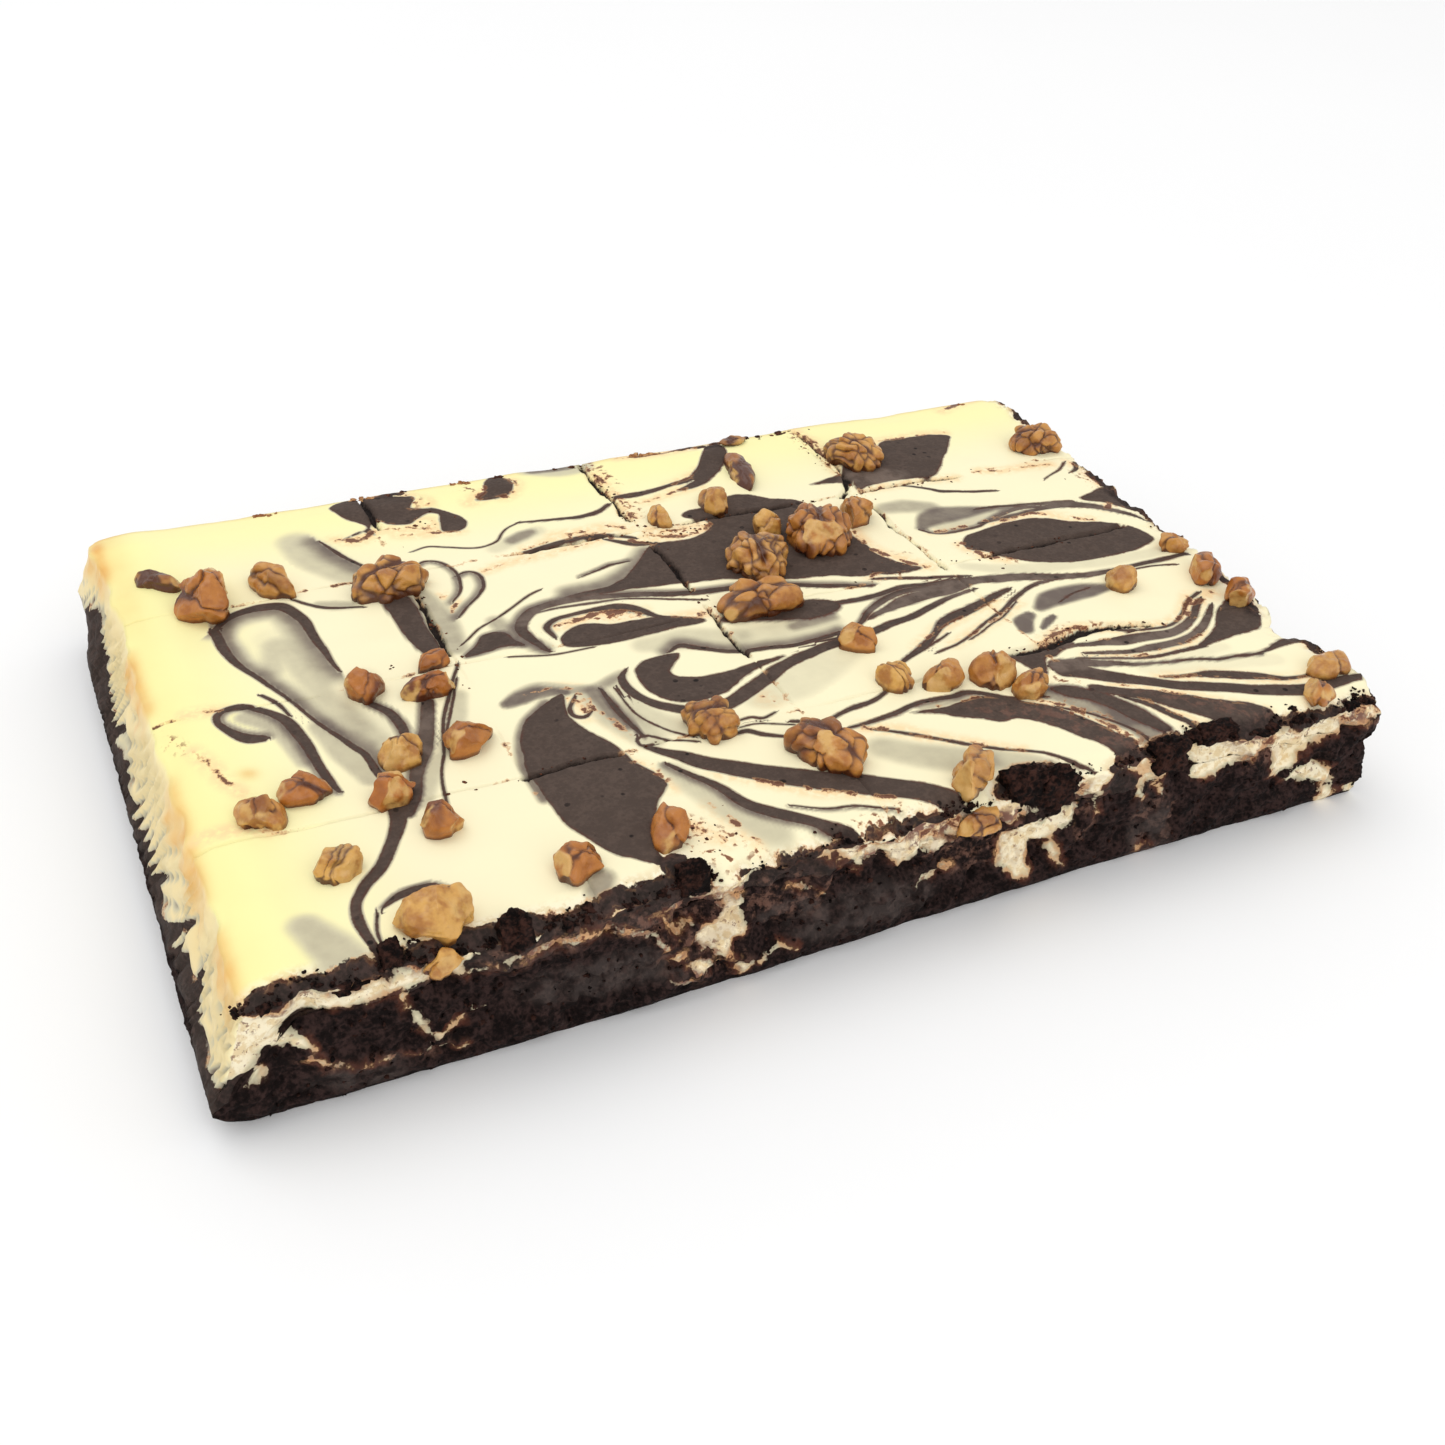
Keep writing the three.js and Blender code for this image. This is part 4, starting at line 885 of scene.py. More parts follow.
def face_fields(along, z, floor):
    """The look of a cut face: dark below the cheese's floor, with pockets and smears of both."""
    pockets, _ = field(along, z, patches=patches_of(FACE_CHEESE_PATCHES, 1), ragged=0.9)
    veins, _ = field(along, z, with_haze(FACE_CHEESE_LINES, 1), ragged=0.35)
    cocoa, _ = field(along, z, patches=patches_of(FACE_COCOA_PATCHES, 1), ragged=0.9)
    layer = (floor - z) + 0.5 * rough(along / 4, z / 4, 6.0)
    depth = np.minimum(np.maximum(np.minimum(np.clip(layer, -FAR, FAR), -pockets), cocoa), -veins)
    smear_depth, _ = field(along, z, patches=patches_of(FACE_SMEAR_PATCHES, 1), ragged=1.2)
    smear = smooth(0.5 + smear_depth / 3) * (1 - 0.75 * smooth(pockets / 2))
    bloom = np.zeros(along.shape)
    for soft, widths, points in FACE_BLOOM_LINES:
        near, _, fade = in_line(along, z, (soft, soft), widths, points)
        bloom[near] = np.maximum(bloom[near], fade)
    return depth, smear, bloom


def torn(along, z):
    """How deep the torn holes of the front reach at each place."""
    depth = np.zeros(along.shape)
    for x, height, half_width, half_height in TORN_HOLES:
        wobble = 1 + 0.35 * noise(along / 2.5, z / 2.5, x)
        r = np.hypot((along - x) / half_width, (z - height) / half_height) * wobble
        depth = np.maximum(depth, HOLE_DEPTH * smooth(1.35 - r))
    return depth


# Meshes

AT_LEFT, AT_FRONT, AT_RIGHT, AT_BACK = range(4)    # the sides by number


def make_piece(name, points, faces, material, attributes=None, shade_smooth=True):
    """A mesh piece from points in millimetres and faces, with fields stored as its attributes."""
    mesh = bpy.data.meshes.new(name)
    faces = [f for part in faces for f in np.asarray(part).tolist()]
    mesh.from_pydata((np.asarray(points) * MM).tolist(), [], faces)
    for key, values in (attributes or {}).items():
        layer = mesh.attributes.new(key, "FLOAT", "POINT")
        layer.data.foreach_set("value", np.asarray(values, np.float32))
    mesh.polygons.foreach_set("use_smooth", [shade_smooth] * len(mesh.polygons))
    mesh.update()
    mesh.materials.append(material)
    piece = bpy.data.objects.new(name, mesh)
    bpy.context.scene.collection.objects.link(piece)
    return piece


def join_rings(upper, lower):
    """Quads between two rings of vertices, with the upper one first."""
    return np.stack([upper, lower, np.roll(lower, -1), np.roll(upper, -1)], 1)


def grid_lines(low, high, cuts):
    """Lines from one edge to the other, closer together beside each score."""
    stops = [low]
    for cut in cuts:
        stops += [cut - FINE_REACH, cut + FINE_REACH]
    stops.append(high)
    lines = []
    for n, (start, end) in enumerate(zip(stops, stops[1:])):
        step = FINE_STEP if n % 2 else TOP_STEP
        lines.append(np.linspace(start, end, max(1, round((end - start) / step)), endpoint=False))
    return np.concatenate([*lines, [high]])


def side_of(x, y):
    """Which side each rim point is on, and that side's outward direction."""
    gaps = np.stack([x - LEFT, y - FRONT, RIGHT - x, BACK - y])
    side = gaps.argmin(0)
    out = np.array([(-1, 0), (0, -1), (1, 0), (0, 1)], float)[side]
    return side, out


def side_relief(side, along, z):
    """Outward relief of a side: crumbs and torn holes where it was cut, pitted crust where it was baked."""
    cut = (side == AT_FRONT) | (side == AT_RIGHT)
    crumb = 0.5 * rough(along / 2.6, z / 2.6, 2.0, 3) + 0.9 * noise(along / 6.5, z / 6.5, 5.0)
    crumb = crumb + 0.8 * puffs(along / 2.7, z / 2.4, side * 5.0, 0.6) - 0.5
    crumb = crumb - 1.1 * smooth((noise(along / 3.1, z / 3.1, 9.0) - 0.35) / 0.3)
    crumb = crumb - np.where(side == AT_FRONT, torn(along, z), 0)
    pits = smooth((noise(along / 2.4, z / 2, 7.0) - 0.4) / 0.3)
    crust = 0.35 * rough(along / 2.2, z / 2.2, 3.0, 3) - 0.5 * pits
    return np.where(cut, crumb, crust)


def creases(y, z):
    """The creases in the cheese of a baked side, from 0 in a valley to 1 on a fold's crest."""
    lean = 0.9 + 0.5 * noise(y / 31, 3.0)
    phase = (y + lean * z) / 6.2 + 1.3 * noise(y / 10, z / 30, 2.0)
    return np.abs(np.sin(np.pi * phase))


def pleats(y, z):
    """How far the creases stand out."""
    depth = 2.0 + 0.9 * noise(y / 15, z / 18, 8.0)
    shallow = 0.6 * noise((y - 0.9 * z) / 5, z / 12, 6.0) + 0.16 * rough(y / 2, z / 2, 4.0)
    folded = depth * (creases(y, z) - 0.65) * smooth((HEIGHT - 1 - z) / 8)
    folded = folded * mix(0.15, 1, smooth((92 - y) / 24))
    return (folded + shallow) * smooth((z - 7) / 6) * smooth((HEIGHT - z) / 2)


def side_points(rim_x, rim_y, z, side, out):
    """The points of one row round the sides, pushed out by their relief."""
    along = np.where((side == AT_LEFT) | (side == AT_RIGHT), rim_y, rim_x)
    px, py = place(rim_x, rim_y, z)
    push = side_relief(side, along, z) * mix(0.1, 1, smooth(z / 4))
    baked = (side == AT_LEFT) | (side == AT_BACK)
    floor = rim_floor(rim_x, rim_y)
    push = np.where(baked & (z > floor - 1), pleats(along, z) + 0.2 * push, push)
    return np.stack([px + out[:, 0] * push, py + out[:, 1] * push, z], 1)


# How far the dark of the left side rises above the base's own edge, along the side
LEFT_RISE = ((-98, -89, -83, -76, -72, -68, -62, -57, -53, -37, 8, 30, 43, 55, 68, 75, 84, 91, 98),
             (5, 4, 5, 5.5, 14, 5.5, 6, 8, 3, 3.5, 5, 5.5, 7, 10.5, 12.5, 17, 13.5, 7, 4))


def baked_fields(side, along, z, floor):
    """A baked side: how deep inside its dark each place is, how brown its cheese, and how hazy, with
    painted shade in the valleys between its folds.
    """
    fold = creases(along, z)
    scallops = 4.4 * (0.55 - fold) * clamp(0.55 + 0.8 * noise(along / 11, 2.0, 5.0))
    scallops = scallops * smooth((along - FRONT) / 10)
    raised = np.where(side == AT_LEFT, np.interp(along, *LEFT_RISE), 1.5) + scallops
    teeth = 12 * smooth((noise((along + 0.9 * z) / 9, 0.5, 3.0) - 0.30) / 0.6) ** 2
    cocoa = np.clip(floor + raised - z + teeth + 0.6 * rough(along / 3, z / 3, 2.0), -FAR, FAR)
    toasted = np.where(side == AT_LEFT, toasted_lip(along), smooth(0.4 + noise(along / 14, 1.0, 4.0)))
    toasted = toasted * smooth((z - 25 - 4 * noise(along / 5, z / 9, 7.0)) / 8)
    toasted = toasted * (0.5 + 0.35 * fold) * (1 + 0.5 * noise(along / 4, z / 5, 9.0)) + 0.12
    # Painted shade: the cheese is greyed in the valleys between the folds, below the top edge.
    valley_shade = 0.58 * (1 - smooth(1.7 * fold)) * smooth((31 - z) / 8)
    return cocoa, toasted, valley_shade + 0.45 * hill(np.minimum(cocoa, 0) / 2.2)


def rim_fields(rim_x, rim_y, z, side, floor):
    """The fields of one row of side points."""
    front_along = np.where(side == AT_FRONT, rim_x, RIGHT_SHIFT - rim_y)
    corner = np.minimum(16 + 1.3 * (front_along - LEFT), 26.5)
    cocoa, smear, bloom = face_fields(front_along, z, np.maximum(floor, corner))
    baked_cocoa, toasted, haze_and_valley_shade = baked_fields(side, np.where(side == AT_LEFT, rim_y, rim_x), z, floor)
    cut = (side == AT_FRONT) | (side == AT_RIGHT)
    return {
        "cocoa": np.where(cut, cocoa, baked_cocoa),
        "smear": np.where(cut, smear, 0.0),
        "bloom": np.where(cut, bloom, 0.0),
        "cut": np.where(cut, 1.0, 0.6),
        "bake": np.where(cut, 0.1, toasted),
        "rust": np.where(cut, mix(-1.6, 0.1, smear) - 0.5 * hill(cocoa), 0.2 - np.abs(baked_cocoa + 0.5)),
        "stain": np.where(cut, 0.5 * smear, 0.0),
        # On the baked sides this haze also holds painted shade in the valleys of their creases.
        "veil_and_valley_shade": np.where(cut, 0.5 * hill(np.minimum(cocoa, 0) / 1.2), haze_and_valley_shade * smooth((z - 6) / 4)),
        "fringe": np.full(z.shape, 0.6),
        "yellow": np.where(cut, 0.1, 0.5),
        # This marks the baked sides' cheese below the top edge, which the marbling gives its crust colour
        # and a painted side shade.
        "crust": np.where(cut, 0.0, smooth((HEIGHT + 1 - z) / 5)),
    }


# Every field, with its value where a part gives none
FIELDS = {
    "cocoa": 0, "veil_and_valley_shade": 0, "rust": -FAR, "stain": 0, "fringe": 0, "thin": 0, "speck": 0, "yellow": 0,
    "bake": 0, "crust": 0, "tear": -FAR, "smear": 0, "bloom": 0, "cut": 0,
    "across_a": FAR, "off_a": FAR, "half_a": 0, "across_b": FAR, "off_b": FAR, "half_b": 0,
}


def gather(parts):
    """One array for each field from a list of parts, with its usual value where a part lacks it."""
    counts = [len(p["cocoa"]) for p in parts]
    return {key: np.concatenate([np.broadcast_to(p.get(key, usual), (n,)) for p, n in zip(parts, counts)])
            for key, usual in FIELDS.items()}


# The rings that close the base inside its rim: each one's scale, and its height from the cheese's floor
INNER_RINGS = ((0.985, -0.25), (0.9, -0.5), (0.5, -0.6))


def plain_rim():
    """Evenly spaced places round the plain rectangle."""
    xs = np.arange(LEFT, RIGHT + 0.01, LENGTH / round(LENGTH / SIDE_STEP))
    ys = np.arange(FRONT, BACK + 0.01, DEPTH / round(DEPTH / SIDE_STEP))
    rim_x = np.concatenate([xs[:-1], np.full(len(ys) - 1, RIGHT), xs[:0:-1], np.full(len(ys) - 1, LEFT)])
    rim_y = np.concatenate([np.full(len(xs) - 1, FRONT), ys[:-1], np.full(len(xs) - 1, BACK), ys[:0:-1]])
    return rim_x, rim_y


def make_base(material):
    """The dark base: a fine skin round its sides, closed above and below."""
    rim_x, rim_y = plain_rim()
    side, out = side_of(rim_x, rim_y)
    floor = rim_floor(rim_x, rim_y)
    rows, count = round((HEIGHT - CHEESE) / SIDE_STEP), len(rim_x)
    points, parts = [], []
    for shrink, drop in reversed(INNER_RINGS):
        x, y = rim_x * shrink, rim_y * shrink
        points.append(np.stack([x, y, cheese_floor(x, y) + drop], 1))
        parts.append({"cocoa": np.full(count, FAR)})
    for row in range(rows + 1):
        z = floor * (1 - row / rows)
        points.append(side_points(rim_x, rim_y, z, side, out))
        parts.append(rim_fields(rim_x, rim_y, z, side, floor))
    for shrink, _ in INNER_RINGS:
        x, y = points[-1][:, 0] * shrink, points[-1][:, 1] * shrink
        points.append(np.stack([x, y, np.zeros(count)], 1))
        parts.append({"cocoa": np.full(count, FAR), "cut": 0.6})
    rings = np.arange(len(points) * count).reshape(-1, count)
    faces = [join_rings(upper, lower) for upper, lower in zip(rings, rings[1:])]
    faces += close_rings(points, count, parts)
    return make_piece("brownie_body", np.vstack(points), faces, material, gather(parts))


def close_rings(points, count, parts):
    """A centre point for the first and the last ring, and the triangles to it."""
    total = sum(len(p) for p in points)
    first, last = points[0], points[-1]
    points.append(np.array([first.mean(0), last.mean(0)]))
    parts.append({"cocoa": np.full(2, FAR)})
    ring = np.arange(count)
    low = ring + total - count
    up = np.stack([np.full(count, total), ring, np.roll(ring, -1)], 1)
    down = np.stack([np.full(count, total + 1), np.roll(low, -1), low], 1)
    return [up, down]


SIDE_ROWS = 15       # rows of points down the cheese's sides
CHEESE_LAP = 0.05    # how far the cheese dips into the base


def score_depth(x, y, tears):
    """The scores: thin wandering grooves, deeper where they tore the top."""
    depth = np.zeros(x.shape)
    for offset in score_offsets(x, y):
        width = 0.42 + 0.22 * noise(x / 3, y / 3, 14.0)
        shown = smooth(0.65 + 1.2 * noise(x / 17, y / 17, 15.0))
        depth = np.maximum(depth, 0.8 * shown * clamp(1 - np.abs(offset) / width))
    return np.maximum(depth, GROOVE_DEPTH * smooth(0.5 + tears))


def cheese_top(gx, gy):
    """The points and fields of the top: scored, ragged at the cut edges, and coarser where it is dark."""
    base_z = top_height(gx, gy)
    px, py = place(gx, gy, base_z)
    top = top_fields(px, py)
    edge = np.minimum(gy - FRONT, RIGHT - gx)
    ragged = 0.9 * rough(px / 2.4, py / 2.4, 3.0) * smooth(1 - edge / 5)
    coarse = smooth(0.5 + top["cocoa"]) * (0.12 + 0.1 * rough(px / 1.8, py / 1.8, 6.0))
    z = base_z - score_depth(px, py, top["tear"]) + ragged + coarse + 0.05 * noise(px / 3.2, py / 3.2, 7.0)
    return np.stack([px, py, z], 1), top


def cheese_sides(rim_x, rim_y, brim):
    """The rows of points down the sides from the brim, each with its fields."""
    side, out = side_of(rim_x, rim_y)
    floor = rim_floor(rim_x, rim_y)
    levels = [mix(brim, floor - CHEESE_LAP, (row + 1) / SIDE_ROWS) for row in range(SIDE_ROWS)]
    return [
        (side_points(rim_x, rim_y, z, side, out), rim_fields(rim_x, rim_y, z, side, floor))
        for z in levels
    ]


def cheese_underside(rim_x, rim_y):
    """The rings of points under the layer, each with its fields."""
    rings = []
    for shrink in (0.97, 0.9, 0.5):
        x, y = rim_x * shrink, rim_y * shrink
        ring = np.stack([x, y, cheese_floor(x, y) - CHEESE_LAP], 1)
        rings.append((ring, {"cocoa": np.full(x.shape, FAR)}))
    return rings


def make_cheese(material):
    """The cheese layer: its marbled top, the sides that show, and a plain underside."""
    xs, ys = grid_lines(LEFT, RIGHT, CUTS_X), grid_lines(FRONT, BACK, CUTS_Y)
    gx, gy = [a.ravel() for a in np.meshgrid(xs, ys)]
    surface, top = cheese_top(gx, gy)
    at = np.arange(gx.size).reshape(len(ys), len(xs))
    upper = np.concatenate([at[0, :-1], at[:-1, -1], at[-1, :0:-1], at[:0:-1, 0]])
    rim_x, rim_y, brim = gx[upper], gy[upper], surface[upper, 2]
    points, parts, used = [surface], [top], gx.size
    faces = [np.stack([at[:-1, :-1], at[:-1, 1:], at[1:, 1:], at[1:, :-1]], -1).reshape(-1, 4)]
    for ring, fields in cheese_sides(rim_x, rim_y, brim) + cheese_underside(rim_x, rim_y):
        points.append(ring)
        parts.append(fields)
        lower = np.arange(len(ring)) + used
        faces.append(join_rings(upper, lower))
        upper, used = lower, used + len(ring)
    points.append(points[-1].mean(0)[None])
    parts.append({"cocoa": np.full(1, FAR)})
    faces.append(np.stack([np.full(len(upper), used), np.roll(upper, -1), upper], 1))
    return make_piece("cheese_layer", np.vstack(points), faces, material, gather(parts))


# Walnuts

def ball(level):
    """An icosahedron split level times: directions, faces and edges."""
    mesh = bpy.data.meshes.new("ball")
    shape = bmesh.new()
    bmesh.ops.create_icosphere(shape, subdivisions=level, radius=1)
    shape.to_mesh(mesh)
    shape.free()
    directions = np.zeros(len(mesh.vertices) * 3)
    mesh.vertices.foreach_get("co", directions)
    faces = np.zeros(len(mesh.polygons) * 3, int)
    mesh.polygons.foreach_get("vertices", faces)
    edges = np.zeros(len(mesh.edges) * 2, int)
    mesh.edges.foreach_get("vertices", edges)
    bpy.data.meshes.remove(mesh)
    return directions.reshape(-1, 3), faces.reshape(-1, 3), edges.reshape(-1, 2)


def relaxed(values, edges, rounds):
    """Values averaged with their neighbours, so many times over."""
    a, b = edges.T
    n = len(values)
    count = np.bincount(a, minlength=n) + np.bincount(b, minlength=n)
    for _ in range(rounds):
        around = np.bincount(a, values[b], n) + np.bincount(b, values[a], n)
        values = 0.5 * values + 0.5 * around / count
    return values


def solid_radius(node, centre, directions):
    """How far the node's surface lies from the centre in each direction, in metres."""
    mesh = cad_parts[node].data
    tree = BVHTree.FromPolygons([v.co for v in mesh.vertices], [p.vertices for p in mesh.polygons])
    radii = []
    for d in directions:
        hit = tree.ray_cast(centre, Vector(d))
        radii.append(hit[3] if hit[0] is not None else 0.002)
    return np.array(radii)


def long_axis(node):
    """The turn of a node's longer side, in radians."""
    corners = np.array([v.co[:2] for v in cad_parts[node].data.vertices])
    values, vectors = np.linalg.eigh(np.cov((corners - corners.mean(0)).T))
    return math.atan2(*vectors[:, values.argmax()][::-1])


WALNUT_FINE = 16    # walnuts longer than this get a finer mesh
SMOOTH_WALNUTS = (12, 15, 17, 20, 22, 24, 25, 27, 34, 37, 41, 43)    # pieces with hardly a fold
PALE_WALNUTS = (16, 21, 22, 24, 25, 27, 30, 37, 41, 43)
AMBER_WALNUTS = (9, 12, 13, 14, 15, 17, 18, 20, 23, 34, 39, 40)
DARK_WALNUTS = (10, 26, 36)


def folds(q, form, number, size, draw):
    """The lobes of a walnut's skin: 1 on a lobe, 0 in the folds between them and in the cleft."""
    x, y, z = q.T
    bend = 0.35 * noise(x / 5, y / 5, z / 5 + number)
    if form == "half":
        pitch = 0.2 * size.max()
        across = y / pitch + bend + 40 * (y > 0)
        lobes = puffs(x / (1.5 * pitch) + bend + 7 * number, across, z / (1.6 * pitch), 0.42)
        cleft = hill(y / (0.05 * size[:2].min() + 0.3)) * smooth(z / 2)
        return lobes * (1 - cleft)
    reach = size[:2].mean()
    wander = 0.09 * reach * rough(*(q.T / (0.3 * reach) + number))
    lobes = np.ones(len(q))
    for _ in range(1 if number in SMOOTH_WALNUTS else 3):
        normal = draw.normal(size=3) * (0.4, 1, 0.4)
        normal /= np.linalg.norm(normal)
        gap = np.abs(q @ normal + wander - reach * draw.uniform(-0.26, 0.26))
        lobes = lobes * np.sqrt(clamp(gap / (0.13 * reach)))
    return lobes


def facets(q, form, draw):
    """Flat broken faces and dents: the points with them, and how much each is on a bare broken face."""
    broken = np.zeros(len(q))
    for n in range({"half": 1, "chunk": 9, "sliver": 4}[form]):
        angle, lift = draw.uniform(0, math.tau), draw.uniform(-0.2, 1.3)
        normal = np.array([math.cos(angle), math.sin(angle), lift])
        normal /= np.linalg.norm(normal)
        reach = q @ normal
        cut_at = draw.uniform(0.62, 0.86) + 0.14 * (form == "half")
        over = reach + 0.25 * rough(*(q.T / 2.6)) - cut_at * reach.max()
        q = q - np.maximum(over, 0)[:, None] * normal * 0.92
        if n < 2:
            broken = np.maximum(broken, smooth(over / 0.6 + 0.3))
    return q, broken


def tone_of(number, draw):
    """How brown a walnut's skin is, from 0 for pale to 1 for amber."""
    if number in PALE_WALNUTS:
        return draw.uniform(0, 0.25)
    return draw.uniform(0.85, 1) if number in AMBER_WALNUTS else draw.uniform(0.3, 0.8)


def level_spin(node):
    """The turn that lays a node's longer side along x."""
    turn = -long_axis(node)
    return np.array([[math.cos(turn), -math.sin(turn), 0], [math.sin(turn), math.cos(turn), 0], [0, 0, 1]])


def walnut_radius(node, form, number, centre, directions, edges):
    """How far the skin lies from the centre: the solid's own form, softened and a little uneven."""
    rounds = {"half": 12, "chunk": 4, "sliver": 6}[form]
    radius = relaxed(solid_radius(node, Vector(centre * MM), directions) / MM, edges, rounds)
    swells, bumps = noise(*(directions.T * 1.7 + number)), noise(*(directions.T * 4 + number))
    return radius * (1.05 + 0.09 * swells + 0.04 * bumps)


def skin_depth(q, form, number, size, lobes, broken, edges):
    """How far the skin sinks at each point, in its folds and by its grain."""
    deepest = 0.12 * size.min() + (0.5 if form == "half" else 0.2)
    fold_depth = deepest * (1 - lobes) * (1 - 0.8 * broken)
    grain = 0.10 * noise(*(q.T / 0.9)) + 0.25 * noise(*(q.T / 2.4 + number))
    grain = grain + 0.35 * noise(*(q.T / 4.5 + number))
    return relaxed(fold_depth - grain * (1 + broken), edges, 1)


def make_walnut(node, shapes, material):
    """A walnut piece in its solid's form, with folded skin, a cleft, paler broken faces, and a darker foot
    that is partly painted shade.
    """
    form, number = node.split("_")[1], int(node.split("_")[2])
    low, high = (np.array(c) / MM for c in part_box(node))
    size, centre = high - low, (low + high) / 2
    centre[2] = mix(low[2], high[2], 0.42)
    directions, faces, edges = shapes[6 if max(size) > WALNUT_FINE else 5]
    radius = walnut_radius(node, form, number, centre, directions, edges)
    spin = level_spin(node)
    q = (directions * radius[:, None]) @ spin.T
    draw = np.random.default_rng(number)
    lobes = folds(q, form, number, size, draw)
    q, broken = facets(q, form, draw)
    depth = skin_depth(q, form, number, size, lobes, broken, edges)
    q = q - directions @ spin.T * depth[:, None]
    points = q @ spin + centre
    points[:, 2] -= 1.4 * smooth((low[2] + 1.5 - points[:, 2]) / 1.5)
    skin_dark_and_foot_shade = relaxed(1 - lobes, edges, 1) * (1 - broken) + 0.5 * (number in DARK_WALNUTS)
    # Each piece darkens towards its foot, where it sits in the cheese: partly painted contact shade.
    skin_dark_and_foot_shade = skin_dark_and_foot_shade + 0.7 * smooth((low[2] + 2.2 - points[:, 2]) / 2)
    look = {"skin_dark_and_foot_shade": skin_dark_and_foot_shade, "broken": broken, "tone": np.full(len(q), tone_of(number, draw))}
    piece = make_piece(node.replace("walnut", "kernel"), points, [faces], material, look)
    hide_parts(node)
    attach(piece, "root")
    return piece


# Crumbs

def scatter(name, spots, shape, material, seed):
    """Many small rough lumps, joined into one piece. A spot is its place, its size and how flat it lies."""
    directions, faces, _ = shape
    draw = np.random.default_rng(seed)
    points, all_faces = [], []
    for n, (spot, size, flat) in enumerate(spots):
        stretch = draw.uniform(0.6, 1.5, 3)
        turn = Matrix.Rotation(draw.uniform(0, math.tau), 3, Vector(draw.normal(size=3)).normalized())
        shift = draw.uniform(0, 50)
        bumps = 1 + 0.6 * noise(*(directions.T * 1.5 + shift)) + 0.35 * noise(*(directions.T * 3.6 + shift))
        lump = (directions * bumps[:, None] * stretch * size) @ np.array(turn).T
        points.append(lump * (1, 1, flat) + spot)
        all_faces.append(faces + n * len(directions))
    piece = make_piece(name, np.vstack(points), [np.vstack(all_faces)], material)
    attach(piece, "root")
    return piece


# Stretches of the front edge: from, to, how many clumps to a millimetre, and how large
RIDGE = (
    (-150, -47, 0.95, 0.9), (-47, -30, 0.35, 0.6), (-30, 30, 0.5, 0.6), (30, 52, 0.9, 1.1),
    (52, 74, 0.45, 0.7), (74, 115, 0.75, 0.9), (115, 151, 0.8, 0.9),
)


def on_ridge(x, back, lift):
    """A place on the front edge: along it, back from it, and above it."""
    y = front_side(x, 33.0) + 0.3 + back
    return x, y, top_height(x, max(y, FRONT)) + lift


def ridge_spots(draw):
    """Clumps heaped along the front edge, each a flattened lump with smaller ones about it."""
    large, small = [], []
    for start, end, density, scale in RIDGE:
        for x in draw.uniform(start, end, round((end - start) * density)):
            size = scale * draw.uniform(0.5, 1.0) * draw.choice((0.8, 1.0, 1.7))
            back = abs(draw.normal(0, 1.3)) * scale
            large.append((on_ridge(x, back, draw.uniform(-0.7, 0.3)), size, 0.65))
            for _ in range(draw.integers(2, 7)):
                aside, further = draw.normal(0, 1.8, 2)
                place_by = on_ridge(x + aside, abs(back + 0.7 * further), draw.uniform(-0.3, 0.4))
                small.append((place_by, scale * draw.uniform(0.18, 0.55), 0.8))
    return large, small


# Loose crumbs that lie about the top: where they gather, how far they spread, and how many
STREWN = (
    ((-73, 20), (1.5, 16), 22), ((-60, -50), (12, 1.2), 16), ((0, 78), (1.4, 20), 30),
    ((0, 20), (1.2, 16), 14), ((110, 1), (26, 1.2), 22), ((34, 50), (18, 1.3), 18),
    ((92, 50), (14, 1.4), 16), ((84, -48), (18, 1.6), 22), ((75, 80), (1.6, 16), 24),
    ((-42, -88), (4, 6), 20), ((15, 46), (9, 2), 14), ((90, 1), (3, 4), 10), ((48, 97), (16, 1), 14),
    ((-62, 78), (10, 4), 10), ((150, 28), (3, 8), 10), ((-88, 5.5), (1.5, 1.5), 3), ((60, 4), (6, 4), 6),
)


def strewn_spots(draw):
    """Small crumbs along the scores and beside the torn places."""
    spots = []
    for (x, y), (wide, deep), count in STREWN:
        for dx, dy in draw.normal(0, 1, (count, 2)):
            px = np.clip(x + wide * dx, LEFT + 3, RIGHT + 2)
            py = np.clip(y + deep * dy, FRONT + 1, BACK - 1)
            spots.append(((px, py, top_height(px, py)), draw.uniform(0.14, 0.42), 0.5))
    return spots


# Where flakes of crust stand out of the back rim: along it, how many, and how far they spread
TAN_FLAKES = ((-102, 5, 3), (-72, 4, 2), (-42, 4, 3), (24, 7, 5), (150, 4, 4))
DARK_FLAKES = ((-67, 6, 4), (-28, 3, 2), (-8, 4, 3), (49, 7, 4), (57, 5, 2), (69, 6, 3))


def flake_spots(flakes, draw):
    """Flat flakes that lie on the back rim."""
    spots = []
    for x, count, wide in flakes:
        for along in draw.normal(x, wide, count):
            y = BACK - draw.uniform(0.2, 2.2)
            spots.append(((along, y, top_height(along, y)), draw.uniform(0.5, 1.3), 0.35))
    return spots


def face_crumb_spots(draw, count):
    """Loose crumb standing out of the dark of the cut front and right faces."""
    along, height = draw.uniform(LEFT, RIGHT, count), draw.uniform(0.8, 31, count)
    on_front = (draw.random(count) < 0.62) | (along < RIGHT_SHIFT - BACK) | (along > RIGHT_SHIFT - FRONT)
    dark = face_fields(along, height, 26.0)[0] > 0.8
    spots = []
    for x, z, front in zip(along[dark], height[dark], on_front[dark]):
        if front:
            spot = (x, front_side(x, z) + 0.3 - 0.5 * noise(x / 6.5, z / 6.5, 5.0), z)
        else:
            spot = (right_side(RIGHT_SHIFT - x, z) - 0.3, RIGHT_SHIFT - x, z)
        spots.append((spot, draw.uniform(0.2, 0.55), 1.0))
    return spots


# Torn blocks of the base on the front edge: place along it, height, and half sizes
BLOCKS = (
    (-118, 34.6, (2.2, 2.2, 2.4)), (-92.5, 34.6, (3.4, 3.0, 3.8)), (-51, 34.2, (3.4, 2.6, 3.4)),
    (38, 33, (5.6, 3.4, 5.0)), (46, 31.4, (5.6, 3.2, 4.6)), (80, 33, (4.8, 3.0, 4.2)),
    (97, 33.6, (5.6, 2.4, 2.2)),
)


